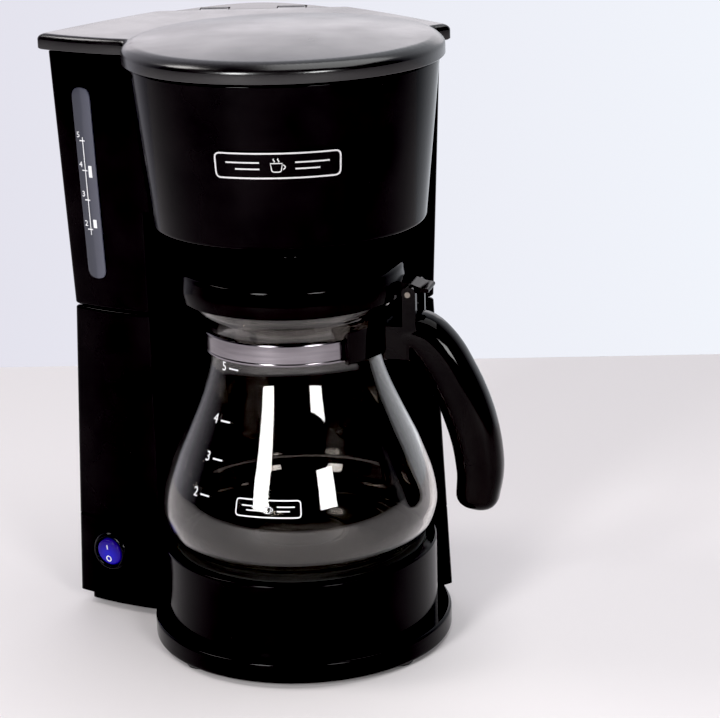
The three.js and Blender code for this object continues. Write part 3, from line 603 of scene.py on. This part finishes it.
def base():
    """The bottom cover with its round flange in front."""
    low = 1.8
    rings = []
    for z, inset in rounded_levels(low, FLANGE_TOP_Z, 1.3, between=2):
        circle = FLANGE_RADIUS - inset
        line = front_line(np.linspace(-64, 64, 200), BOTTOM_HALF + 0.7, FRONT_Y - 0.45)
        line[:, 1] -= inset * 0.5
        inside = line[np.hypot(line[:, 0], line[:, 1]) < circle]
        a0 = math.atan2(inside[0, 1], inside[0, 0])
        a1 = math.atan2(inside[-1, 1], inside[-1, 0]) + 2 * math.pi
        sweep = np.linspace(a0 if a0 > 0 else a0 + 2 * math.pi, a1, 160)
        rings.append(at_height(np.vstack((on_circle(circle, sweep)[1:-1], resample(inside[::-1], 60))), z))
    cover = loft("bottom_cover", rings)
    plinth = loft("plinth", [plan(BOTTOM_HALF - SIDE_SHARE * 3.2, FRONT_Y + 3.2, z, 60 - i, True)
                             for z, i in ((low, 0.6), (low + 0.6, 0), (5.6, 0))])
    cover = combine(cover, plinth, "UNION")
    for row in range(2):
        for i in range(4):
            y = row * 40 - 20 + i * 6
            cover = combine(cover, block(-16, 16, y, y + 2.2, 0, 14), "DIFFERENCE")
    for places, r, segments in ((FEET, 6.8, 48), (SCREWS, 3.6, 32)):
        for place in places:
            sink = turned("sink", [[0, 0], [r, 0], [r, 3.8], [0, 3.8]], segments, place)
            cover = combine(cover, sink, "DIFFERENCE")
    return done(cover, "gloss_black_shell", "machine", replaced=["base_plate"])


def feet():
    for i, place in enumerate(FEET):
        foot = turned(f"rubber_foot_{i + 1}", fillet(
            [[0, 0.4], [2.4, 0.4], [2.9, 0], [6.0, 0], [6.5, 0.9], [6.5, 3.5], [0, 3.5]],
            [0, 0, 0.3, 0.5, 0.4, 0.3, 0], 3), 48, place)
        done(foot, "black_rubber", "machine", replaced=[f"foot_{i + 1}"])


# ---- brewing drum and what hangs in it ----
def drum():
    top, bottom = TOWER_TOP_Z, DRUM_BOTTOM_Z
    inside = [[r - 2.4, z] for r, z in ((drum_radius(239.7), 239.7), (58.9, 239.7), (58.9, 236),
                                       (drum_radius(236), 236))]
    profile = [[24, 184.5], [drum_radius(184.5) - 2.4, 184.5], [drum_radius(bottom) - 2.4, bottom],
               [DRUM_BOTTOM_RADIUS, bottom], [DRUM_TOP_RADIUS, top], [DRUM_TOP_RADIUS - 2.4, top], *inside,
               [drum_radius(186.9) - 2.4, 186.9], [24, 186.9]]
    radii = [0.4, 0.4, 0.5, 1.5, 0.8, 0.5, 0.3, 0.3, 0.3, 0.3, 1.5, 0.4]
    body = notched(turned("drum", fillet(profile, radii, 6), 192))
    return done(body, "gloss_black_shell", "machine", replaced=["basket_housing"])


def basket():
    cup = turned("basket_cup", fillet([
        [5.5, 190], [43, 190], [46, 193], [54, 240], [58.2, 240], [58.2, 241.8],
        [52.4, 241.8], [44.4, 194.2], [42.2, 191.8], [5.5, 191.8]],
        [0.3, 1, 1, 1, 0.6, 0.6, 0.8, 1, 1, 0.3], 4), 128)
    parts = []
    for side in (-1, 1):
        parts.append(block(min(side * 55.5, side * 57.5), max(side * 55.5, side * 57.5), -9, 9, 241, 246, 0.8))
    for i in range(20):
        angle = 2 * math.pi * (i + 0.5) / 20
        low, high = np.array([44.0, 195.0]), np.array([50.6, 234.0])
        rings = []
        for share, depth in ((0, 0.2), (0.06, 1.3), (0.94, 1.3), (1, 0.2)):
            r, z = low + (high - low) * share
            wide = 0.7
            across = [(r + 0.9, -wide), (r + 0.9, wide), (r - depth, wide * 0.6), (r - depth, -wide * 0.6)]
            rings.append([[a * math.cos(angle) - b * math.sin(angle), a * math.sin(angle) + b * math.cos(angle), z]
                          for a, b in across])
        parts.append(loft("rib", [np.array(ring) for ring in rings]))
    return done(merge(cup, *parts), "matte_black_plastic", "basket", replaced=["filter_basket"])


# ---- lid ----
def lid():
    edge, under = 2.6, LID_PLATE_Z - 2.2
    crown_rise = LID_CROWN_Z - LID_PLATE_Z

    def height(x, y):
        share = max(0.0, min(1.0, (LID_RADIUS - 0.4 - math.hypot(x, y)) / 4.2))
        step = share * share * (3 - 2 * share)
        dome = max(0.0, 1 - (math.hypot(x, y) / LID_RADIUS) ** 2)
        return LID_PLATE_Z + 1.1 * step + (crown_rise - 1.1) * dome * step

    def ring(z, inset):
        return plan(LID_HALF - SIDE_SHARE * inset, FRONT_Y + TOP_HALF - LID_HALF + inset, z, LID_RADIUS - inset, True,
                    rear=LID_REAR_Y - inset, corner=2.0, joint=3.0)

    rings = [ring(under, 2.6), ring(LID_SKIRT_Z + 0.4, 2.6), ring(LID_SKIRT_Z, 2.2), ring(LID_SKIRT_Z, 0.5),
             ring(LID_SKIRT_Z + 0.5, 0)]
    steps = 8
    for k in range(steps + 1):
        a = math.pi / 2 * k / steps
        made = ring(0, edge * (1 - math.cos(a)))
        base_z = LID_PLATE_Z - edge * (1 - math.sin(a))
        made[:, 2] = [base_z + (height(x, y) - LID_PLATE_Z) * math.sin(a) ** 2 for x, y, _ in made]
        rings.append(made)
    inner = []
    polygon = rings[-1][:, :2]
    for r in [64.6, 64, 63.2, 62.4, 61.6, 60.8, 60, 59, 57, 54, 50, 45, 39, 32, 24, 16, 8, 0.001]:
        count = 1 if r < 1 else max(12, int(r * 2.4))
        for i in range(count):
            a = 2 * math.pi * (i + 0.5) / count
            inner.append((r * math.cos(a), r * math.sin(a)))
    for x in np.arange(TOWER_X - 84, TOWER_X + 85, 7.0):
        for y in np.arange(6, LID_REAR_Y, 7.0):
            if math.hypot(x, y) > 68:
                inner.append((x, y))
    kept = [p for p in inner if inside_by(polygon, p, 0.35)]
    cover = skinned("lid_shell", rings, polygon, kept, lambda x, y: [x, y, height(x, y)])
    for side in (-1, 1):
        x = TOWER_X + side * HINGE_SPACING
        barrel = loft("knuckle", [[[x + dx, HINGE_Y + r * math.cos(a), HINGE_Z + r * math.sin(a)]
                                   for a in full_turn(40)]
                                  for dx, r in ((-6, 3.1), (-5.5, 3.6), (5.5, 3.6), (6, 3.1))])
        arm = block(x - 6, x + 6, LID_REAR_Y - 3, HINGE_Y, HINGE_Z - 0.6, HINGE_Z + 3.3)
        cover = combine(cover, combine(barrel, arm, "UNION"), "UNION")
    return done(cover, "gloss_black_lid", "lid", replaced=["lid_cover"], sharp=50)


def inside_by(polygon, point, margin):
    """True if the point is inside the polygon and further than margin from its corners."""
    x, y = point
    if np.hypot(polygon[:, 0] - x, polygon[:, 1] - y).min() < margin:
        return False
    x0, y0 = polygon[:, 0], polygon[:, 1]
    x1, y1 = np.roll(x0, -1), np.roll(y0, -1)
    crosses = (y0 > y) != (y1 > y)
    with np.errstate(divide="ignore", invalid="ignore"):
        at = x0 + (y - y0) / (y1 - y0) * (x1 - x0)
    return bool(np.count_nonzero(crosses & (x < at)) % 2)


# ---- jug ----
GLASS = smooth_curve([[44, 43.3], [50.5, 44.9], [55.6, 49.6], [58.2, 56.8], [58.3, 62.5], [57, 70], [54.4, 78.5],
                      [51.2, 87.5], [47.4, 96.5], [43.4, 106], [39.6, 116], [37.4, 124], [36.9, 131], [37, 138],
                      [38.9, 142.4], [42, 146.8], [43.3, 150.2]], 90)
SPOUT_ANGLE = math.pi


def glass_radius(z):
    line = GLASS[GLASS[:, 1] >= 56.8]
    return float(np.interp(z, line[:, 1], line[:, 0]))


def spout(r, z, angle):
    """The pouring lip: the rim runs out a little on the side away from the handle."""
    off = (angle - SPOUT_ANGLE + math.pi) % (2 * math.pi) - math.pi
    lift = max(0.0, min(1.0, (z - 139) / 11.5)) ** 1.5
    return r + 1.8 * lift * math.exp(-(off / 0.26) ** 2)


def jug_glass():
    thick = 1.9
    outer = np.vstack(([[0.01, 45.2], [20, 45.0], [34, 44.4]], GLASS))
    inner = (GLASS + leftward(unit(np.gradient(GLASS, axis=0))) * thick)[3:]
    lip = [[GLASS[-1][0] - 0.3, 150.9], [GLASS[-1][0] - 1.0, 151.1], [inner[-1][0] + 0.3, 150.9]]
    profile = np.vstack((outer, lip, inner[::-1], [[34, 46.3], [20, 46.9], [0.01, 47.1]]))
    angles = full_turn(160)
    rings = [[[spout(r, z, a) * math.cos(a), spout(r, z, a) * math.sin(a), z] for a in angles] for r, z in profile]
    jug = turn_local(loft("jug", [np.array(ring) for ring in rings], caps=False), JUG_TURN)
    return done(jug, "clear_glass", "jug", replaced=["jug_glass"], sharp=60)


def jug_band():
    low, high = 129.1, 138.2
    r = 38.3
    profile = fillet([[r - 0.7, low + 0.6], [r - 0.95, low], [r - 0.25, low - 0.1], [r, low + 0.7],
                      [r - 0.2, low + 1.4], [r - 0.2, high - 1.4], [r, high - 0.7], [r - 0.25, high + 0.1],
                      [r - 0.95, high], [r - 0.7, high - 0.6]], 0.3, 4)
    band = turned("neck_band", profile, 192)
    return done(band, "bright_steel", "jug", replaced=["jug_band"])


HANDLE_LINE = [[43.5, 133.0], [53.6, 135.0], [60.2, 129.8], [66.4, 119.6], [72.6, 106.4], [77.0, 91.5],
               [78.7, 77.5], [77.6, 66.5]]


def jug_handle():
    count, sides = 56, 40
    line = smooth_curve(HANDLE_LINE, count)
    tangent = unit(np.gradient(line, axis=0))
    across = leftward(tangent)
    circle = on_circle(1, full_turn(sides))
    shape = np.sign(circle) * np.abs(circle) ** (2 / 2.5)
    rings = []

    def ring(at, thick, deep):
        n = across[at]
        return np.array([[line[at][0] + n[0] * thick * c, deep * s, line[at][1] + n[1] * thick * c]
                         for c, s in shape])

    for k in range(count):
        share = k / (count - 1)
        thick = float(np.interp(share, [0, 0.12, 0.3, 0.6, 0.85, 1], [8.4, 9.6, 10.6, 10.5, 9.9, 9.0]))
        deep = float(np.interp(share, [0, 0.15, 0.45, 0.85, 1], [9.0, 9.7, 9.75, 9.6, 9.0]))
        rings.append(ring(k, thick, deep))
    end, last = line[-1], tangent[-1]
    for k in range(1, 8):
        a = math.pi / 2 * k / 7
        scale = max(math.cos(a), 0.02) ** 0.8
        moved = (rings[count - 1] - [end[0], 0, end[1]]) * scale + [end[0] + last[0] * 6.5 * math.sin(a), 0,
                                                                     end[1] + last[1] * 6.5 * math.sin(a)]
        rings.append(moved)
    body = loft("handle", rings)
    for side in (-1, 1):
        y0, y1 = sorted((side * 6.5, side * 9.2))
        ear = loft("ear", [[[x, y, z] for x, z in fillet([[48.8, 136], [54.6, 136], [54.6, 156.6], [48.8, 156.6]],
                                                         [0, 0, 2.6, 2.6], 6)] for y in (y0, y1)])
        body = combine(body, ear, "UNION")
    root = block(40, 52, -9.2, 9.2, 125, 141, 2)
    body = combine(body, root, "UNION")
    sweep = np.radians(np.linspace(-42, 52, 60))
    wrap = fillet([[38.9, 128.2], [41.4, 128.2], [41.4, 147.5], [38.9, 147.5]], 0.8, 3)
    collar = loft("collar", [[[r * math.cos(a), r * math.sin(a), z] for r, z in wrap] for a in sweep])
    body = combine(body, collar, "UNION")
    room = turned("room", [[0, 110], [38.7, 110], [38.7, 140], [46.5, 146], [46.5, 170], [0, 170]], 128)
    body = combine(body, room, "DIFFERENCE")
    body = combine(body, block(36, 60, -6.5, 6.5, 146.5, 160), "DIFFERENCE")
    return done(turn_local(body, JUG_TURN), "gloss_black_handle", "jug", replaced=["jug_handle"], sharp=40)


def jug_top():
    hub = z_of("jug_lid", 1)
    cap = turned("jug_cap", fillet([
        [0.01, 175.4], [5.6, 175.4], [5.6, 163.8], [14, 163.8], [27, 166], [37, 163],
        [45.2, 155], [45.2, 151.2], [47, 151.2], [47.4, 155.4],
        [46.5, 163], [38, 167], [27, 168.4], [14, 166.2], [8, 166.2], [8, hub], [0.01, hub]],
        [0, 0.5, 1, 3, 5, 5, 3, 0.5, 0.5, 2, 1.6, 4, 6, 4, 1, 1.2, 0], 5), 144)
    lever = loft("lever", [[[x, y, z] for x, z in fillet(
        [[44.4, 152.2], [52, 152.2], [55, 153.8], [59.5, 153.8], [59.5, 155.6], [55.5, 156], [50.5, 158.2],
         [44.4, 158.2]],
        [0, 1, 1, 0.8, 0.8, 2, 3, 0], 4)] for y in (-6, -5.4, 5.4, 6)])
    cap = combine(cap, lever, "UNION")
    for place in on_circle(11, np.arange(4) * math.pi / 2):
        hole = turned("hole", [[0.01, 160], [2, 160], [2, 172], [0.01, 172]], 32, place)
        cap = combine(cap, hole, "DIFFERENCE")
    return done(turn_local(cap, JUG_TURN), "satin_black_cap", "jug_top", ["jug_lid"])


# ---- print and plaques: thin raised shapes laid on a surface ----
LIFT = 0.02  # the gap under a raised line


def on_drum(u, v, w, z):
    radius = drum_radius(z + v) + w
    a = -math.pi / 2 + u / drum_radius(z)
    return [radius * math.cos(a), radius * math.sin(a), z + v]


def on_glass(u, v, w, z, angle):
    radius = glass_radius(z + v) + w
    a = angle + u / glass_radius(z)
    return [radius * math.cos(a), radius * math.sin(a), z + v]


def on_flank(u, v, w, z, offset, lean):
    """A point on the tower's left flank: u along the wall, v up, w outward."""
    height = z + v
    radius = front_radius(half_at(height))
    a = math.asin((offset + lean * v) / radius) + u / radius
    return [TOWER_X + (radius + w) * math.sin(a), FRONT_Y + radius - (radius + w) * math.cos(a), height]


def ribbon(points, width, thick, closed, low=LIFT):
    """A flat raised line through 2-D points, as a closed bar. Returns its points (u, v, w) and faces."""
    line = np.array(points, float)
    count = len(line)
    after = np.roll(line, -1, 0) if closed else np.vstack((line[1:], 2 * line[-1] - line[-2]))
    before = np.roll(line, 1, 0) if closed else np.vstack((2 * line[0] - line[1], line[:-1]))
    side = leftward(unit(after - before)) * width / 2
    rows = np.stack([at_height(line + side * s, w)
                     for s, w in ((1, low), (-1, low), (-1, low + thick), (1, low + thick))], 1)
    faces = []
    for i in range(count if closed else count - 1):
        j = (i + 1) % count
        for k in range(4):
            m = (k + 1) % 4
            faces.append((i * 4 + k, i * 4 + m, j * 4 + m, j * 4 + k))
    if not closed:
        faces += [(3, 2, 1, 0), tuple((count - 1) * 4 + k for k in range(4))]
    return rows.reshape(-1, 3), faces


def pill(width, height, radius, steps=10):
    return fillet([[-width / 2, -height / 2], [width / 2, -height / 2], [width / 2, height / 2],
                   [-width / 2, height / 2]], radius, steps)


def straight(x0, y0, x1, y1, steps=8):
    return np.column_stack((np.linspace(x0, x1, steps), np.linspace(y0, y1, steps)))


def digit(text, size, x, y, thick):
    """A numeral as a raised shape: its points (u, v, w) and faces."""
    curve = bpy.data.curves.new("digit", "FONT")
    curve.body = text
    curve.size = size
    curve.align_x = curve.align_y = "CENTER"
    curve.extrude = thick / 2
    curve.resolution_u = 3
    holder = bpy.data.objects.new("digit", curve)
    bpy.context.scene.collection.objects.link(holder)
    bpy.context.view_layer.update()
    mesh = bpy.data.meshes.new_from_object(holder.evaluated_get(bpy.context.evaluated_depsgraph_get()))
    points = np.array([[v.co.x + x, v.co.y + y, v.co.z + thick / 2 + LIFT] for v in mesh.vertices])
    faces = [tuple(f.vertices) for f in mesh.polygons]
    bpy.data.objects.remove(holder)
    return points, faces


def laid(name, shapes, where, finish, body):
    """Lays flat shapes on a surface; where(u, v, w) gives the point."""
    points, faces = [], []
    for shape_points, shape_faces in shapes:
        start = len(points)
        points += [where(*p) for p in shape_points]
        faces += [tuple(start + i for i in f) for f in shape_faces]
    return done(make(name, points, faces), finish, body, sharp=30)


def cup_sign(size):
    """A small cup with steam, drawn in lines."""
    s = size
    bowl = fillet([[-0.42 * s, 0.16 * s], [-0.34 * s, -0.4 * s], [0.24 * s, -0.4 * s], [0.32 * s, 0.16 * s]],
                  [0, 0.16 * s, 0.16 * s, 0], 5)
    a = np.linspace(-1.25, 1.25, 10)
    handle = np.column_stack((0.3 * s + 0.2 * s * np.cos(a), -0.08 * s + 0.15 * s * np.sin(a)))
    t = np.linspace(0, 1, 10)
    steam = [np.column_stack((x * s + 0.04 * s * np.sin(2 * math.pi * t), (0.24 + 0.24 * t) * s)) for x in (-0.2, 0.08)]
    return [(bowl, True), (handle, False), (steam[0], False), (steam[1], False)]


def badge(name, width, height, line, where, finish, body, thick):
    """A plaque outline with a cup between two pairs of bars."""
    shapes = [ribbon(walked(pill(width, height, height * 0.22), 120), line, thick, True)]
    for path, closed in cup_sign(height * 0.62):
        shapes.append(ribbon(path, line * 0.62, thick, closed))
    reach, start = width * 0.41, width * 0.14
    for side in (-1, 1):
        for v, share in ((0.13, 1.0), (-0.13, 0.72)):
            shapes.append(ribbon(straight(side * start, v * height, side * (start + (reach - start) * share),
                                          v * height, 16), line * 0.9, thick, False))
    return laid(name, shapes, where, finish, body)


def drum_badge():
    low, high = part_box("front_badge")
    z = (low.z + high.z) / 2 / MM
    width, height = 50.4, 11.2
    edge = walked(pill(width, height, 2.6), 121)
    rings = [[on_drum(u * scale, v * (1 - (1 - scale) * 3), w, z) for u, v in edge]
             for scale, w in ((1, 0.02), (1, 0.35), (0.985, 0.5))]
    inner = [(u, v) for u in np.arange(-23, 24, 2.0) for v in (-3.2, -1, 1, 3.2)]
    plaque = skinned("badge_plate", rings, edge * [0.985, 0.955], inner, lambda u, v: on_drum(u, v, 0.5, z))
    done(plaque, "gloss_black_shell", "machine", ["front_badge"])
    badge("badge_lines", width - 1.4, height - 1.4, 0.62, lambda u, v, w: on_drum(u, v, w + 0.5, z),
          "badge_print", "machine", thick=0.22)


def jug_print():
    marks = [(5, -43, 126), (4, -42, 105.5), (3, -41, 91), (2, -44, 76.5)]
    for number, side, z in marks:
        # side is in degrees left of straight ahead
        angle = math.radians(-90 + side)
        shapes = [ribbon(straight(0.4, 0, 5.4, 0, 6), 0.6, 0.12, False), digit(str(number), 5.4, -2.6, 0.2, 0.12)]
        laid(f"jug_mark_{number}", shapes, lambda u, v, w, z=z, a=angle: on_glass(u, v, w, z, a), "white_print",
             "jug")
    z = 75
    badge("jug_badge", 27, 6.6, 0.5, lambda u, v, w: on_glass(u, v, w, z, math.radians(-100)), "white_print", "jug",
          thick=0.12)


# ---- window, switch and gland ----
def window():
    low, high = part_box("water_window")
    z = (low.z + high.z) / 2 / MM
    width, height, offset, lean = 9.2, 82, -66.6, -0.031
    edge = walked(pill(width, height, 4.2), 141)

    def place(u, v, w):
        return on_flank(u, v, w, z, offset, lean)

    def scaled(inset):
        return edge * [1 - 2 * inset / width, 1 - 2 * inset / height]

    rings = [[place(u, v, w) for u, v in scaled(inset)]
             for inset, w in ((0, 0.0), (0, 0.4), (0.12, 0.6), (0.4, 0.7))]
    inner = [(u, v) for u in (-3, -1.5, 0, 1.5, 3) for v in np.arange(-38, 39, 4.0)]
    pane = skinned("window_pane", rings, scaled(0.4), inner, lambda u, v: place(u, v, 0.7))
    done(pane, "smoky_window", "machine", replaced=["water_window"])

    shapes = [ribbon(straight(-0.8, -22, -0.8, 20, 20), 0.35, 0.1, False)]
    for i, number in enumerate((2, 3, 4, 5)):
        v = 173 - z + 12.7 * i
        shapes.append(ribbon(straight(-2.4, v, 0.2, v, 4), 0.45, 0.1, False))
        shapes.append(digit(str(number), 3.4, -2.9, v + 2.4, 0.1))
    for v, tall in ((5.5, 5.0), (-17, 3.6)):
        shapes.append(ribbon(straight(1.7, v - tall / 2, 1.7, v + tall / 2, 4), 1.7, 0.1, False))
    laid("window_scale", shapes, lambda u, v, w: place(u, v, w + 0.7), "white_print", "machine")


def flank_frame(offset, z):
    """Origin and axes on the left flank: along the wall, inward, up."""
    radius = front_radius(half_at(z))
    a = math.asin(offset / radius)
    origin = np.array([TOWER_X + offset, FRONT_Y + radius * (1 - math.cos(a)), z])
    return origin, np.array([math.cos(a), math.sin(a), 0]), np.array([-math.sin(a), math.cos(a), 0])


def switch():
    origin, along, inward = flank_frame(-66.9, 27.5)
    up = np.array([0, 0, 1.0])
    tilt, sink = math.radians(8), -0.9

    def placed(x, y, z, tilt, sink):
        """x along the wall, y inward, z up, tilted about the wall's line and then moved inward by sink."""
        y, z = y * math.cos(tilt) - z * math.sin(tilt), y * math.sin(tilt) + z * math.cos(tilt)
        return origin + along * x + inward * (y + sink) + up * z

    def disc_of(profile, name, segments=72, tilt=0.0, sink=0.0):
        rings = [np.array([placed(r * math.cos(a), -out, r * math.sin(a), tilt, sink) for a in full_turn(segments)])
                 for r, out in profile]
        return loft(name, rings, caps=False, close=True)

    bezel = disc_of(fillet([[6.6, -2.6], [7.1, -2.6], [7.1, 0.05], [9.0, 0.05], [8.8, 1.0], [7.5, 2.2], [6.6, 1.8]],
                           [0, 0, 0, 0.3, 0.8, 0.8, 0.3], 5), "bezel")
    done(bezel, "gloss_black_trim", "machine", replaced=["switch_bezel"])
    lens = disc_of(fillet([[0.01, -1.5], [6.1, -1.5], [6.1, 0.9], [5.2, 1.5], [2.5, 1.75], [0.01, 1.85]],
                          [0, 0.3, 0.5, 0.8, 1, 0], 5), "lens", 96, tilt, sink)
    done(lens, "blue_lens", "rocker", replaced=["switch_rocker"])

    def on_lens(u, v, w):
        return placed(u, -(1.66 + w), v, tilt, sink)

    a = full_turn(24)
    circle = np.column_stack((1.15 * np.cos(a), -2.7 + 1.25 * np.sin(a)))
    shapes = [ribbon(circle, 0.45, 0.3, True, -0.1), ribbon(straight(0, 1.9, 0, 4.0, 3), 0.45, 0.3, False, -0.1)]
    laid("switch_marks", shapes, on_lens, "white_print", "rocker")


def gland():
    low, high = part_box("cord_gland")
    middle = ((low + high) / 2 - AXIS) / MM
    x, z, y0, y1 = middle.x, middle.z, low.y / MM - AXIS.y / MM, high.y / MM - AXIS.y / MM
    profile = [[3.2, y0], [7.4, y0], [7.4, y0 + 4.2], [5, y0 + 4.2], [5, y0 + 11.6], [7.6, y0 + 11.6],
               [7.4, y0 + 13.2]]
    for k in range(3):
        at, r = y0 + 13.6 + 1.9 * k, 6.6 - 0.5 * k
        profile += [[r - 0.7, at], [r, at + 0.5], [r - 0.2, at + 1.3], [r - 0.9, at + 1.5]]
    profile += [[4.9, y1 - 0.3], [4.4, y1], [3.2, y1]]
    angles = full_turn(64)
    rings = [np.column_stack((x + r * np.cos(angles), np.full(64, y), z + r * np.sin(angles)))
             for r, y in fillet(profile, 0.3, 3)]
    done(loft("strain_relief", rings, caps=False, close=True), "black_rubber", "machine", replaced=["cord_gland"])


def plate():
    low, high = z_of("warming_plate", 0), z_of("warming_plate", 1)
    disc = turned("hot_plate", fillet([
        [0.01, low], [53.3, low], [53.3, high], [49.5, high], [48.9, high - 0.35], [47.3, high - 0.35],
        [46.7, high], [20.5, high], [20, high - 0.25], [18.6, high - 0.25], [18.1, high], [0.01, high]],
        [0, 0.3, 0.9, 0.5, 0.4, 0.4, 0.5, 0.3, 0.3, 0.3, 0.3, 0], 4), 144)
    done(disc, "coated_plate", "machine", replaced=["warming_plate"])


for build in (tank, hinge_rail, lower, base, feet, drum, basket, lid, jug_glass, jug_band, jug_handle, jug_top,
              drum_badge, jug_print, window, switch, gland, plate):
    build()

# The CAD nodes that stay take the finish of their slot.
slots = {part["node"]: part["material_slot"] for part in frame["record"]["subparts"]}
for node, shown in frame["nodes"].items():
    if not shown.hide_render:
        shown.data.materials.clear()
        shown.data.materials.append(FINISH[slots[node]])


# ---- stage, light and camera ----
def floor_finish():
    """A plain pale floor."""
    tree, shader = new_finish("pale_floor")
    feed(tree, shader, {"Base Color": (0.8, 0.765, 0.775, 1), "Roughness": 0.6, "Specular IOR Level": 0.2})


FLOOR_REACH, FLOOR_BACK, FLOOR_THICK = 3, 0.36, 0.04
corners = [(-FLOOR_REACH, -FLOOR_REACH), (FLOOR_REACH, -FLOOR_REACH), (FLOOR_REACH, FLOOR_BACK),
           (-FLOOR_REACH, FLOOR_BACK)]
floor_mesh = bpy.data.meshes.new("floor")
floor_mesh.from_pydata([(*corner, 0) for corner in corners] + [(*corner, -FLOOR_THICK) for corner in corners], [],
                       [(0, 1, 2, 3), (7, 6, 5, 4), (2, 1, 5, 6), (0, 3, 7, 4), (3, 2, 6, 7), (1, 0, 4, 5)])
floor_finish()
floor_mesh.materials.append(FINISH["pale_floor"])
floor = bpy.data.objects.new("floor", floor_mesh)
bpy.context.scene.collection.objects.link(floor)

world = bpy.data.worlds.new("studio")
bpy.context.scene.world = world
world.use_nodes = True
# The pale backdrop stands behind the machine, and the studio fades to dark towards the front.
sky = world.node_tree
toward = add(sky, "SeparateXYZ", {"Vector": add(sky, "TexCoord").outputs["Generated"]}).outputs
feed(sky, sky.nodes["Background"], {
    "Color": ramp(sky, spread(sky, toward["X"], -0.25, 0.15), [(0.0, (0.76, 0.745, 0.83)), (1.0, (0.89, 0.92, 0.98))]),
    "Strength": spread(sky, toward["Y"], 0.0, 0.7, 0.03)})


def panel(name, place, target, width, height, power, colour=(1, 1, 1)):
    """A soft rectangular lamp that faces a point."""
    lamp = bpy.data.lights.new(name, "AREA")
    lamp.shape = "RECTANGLE"
    lamp.size, lamp.size_y = width, height
    lamp.energy = power
    lamp.color = colour
    holder = bpy.data.objects.new(name, lamp)
    holder.location = place
    aim = Vector(target) - Vector(place)
    holder.rotation_mode = "QUATERNION"
    holder.rotation_quaternion = aim.to_track_quat("-Z", "Y")
    holder.visible_camera = False
    bpy.context.scene.collection.objects.link(holder)


def around(azimuth, distance, height):
    """A place round the drum, with azimuth in degrees right of the camera's side."""
    a = math.radians(azimuth)
    return (AXIS.x + distance * math.sin(a), AXIS.y - distance * math.cos(a), height)


middle = (AXIS.x, AXIS.y, 0.13)
panel("softbox_left", around(-30, 1.3, 0.59), middle, 0.31, 0.5, 13)
panel("softbox_right", around(27.5, 1.3, 0.51), middle, 0.33, 0.27, 7)
panel("softbox_back", (0, 1.7, 0.62), middle, 1.6, 0.5, 2.4, (1, 0.92, 0.94))
panel("key", (-1.1, 0.1, 1.4), (0, 0, 0), 0.5, 0.5, 7, (1, 0.97, 0.95))
panel("softbox_top", (0.6, 0.0, 2.0), (0.2, 0, 0), 1.6, 1.6, 20)

view = bpy.context.scene.view_settings
view.view_transform = "Standard"
view.use_curve_mapping = True
view.curve_mapping.black_level = (0.012, 0.012, 0.012)  # the darkest tones read as black
view.curve_mapping.update()

# The camera was fitted to the photo: focal length in mm, angles in radians, place in metres from the drum's axis.
FOCAL_LENGTH = 116.1
YAW, PITCH, ROLL = -0.036, 0.299, -0.029
CAMERA_PLACE = Vector((0.06068, -0.9272, 0.4065))
camera_data = bpy.data.cameras.new("camera")
camera_data.sensor_width = 36
camera_data.lens = FOCAL_LENGTH
camera = bpy.data.objects.new("camera", camera_data)
bpy.context.scene.collection.objects.link(camera)
ahead = Vector((math.sin(YAW) * math.cos(PITCH), math.cos(YAW) * math.cos(PITCH), -math.sin(PITCH)))
level = Vector((math.cos(YAW), -math.sin(YAW), 0))
upright = level.cross(ahead)
right = level * math.cos(ROLL) + upright * math.sin(ROLL)
top = upright * math.cos(ROLL) - level * math.sin(ROLL)
turn = Matrix((right, top, -ahead)).transposed().to_4x4()
camera.matrix_world = Matrix.Translation(CAMERA_PLACE + AXIS) @ turn
bpy.context.scene.camera = camera
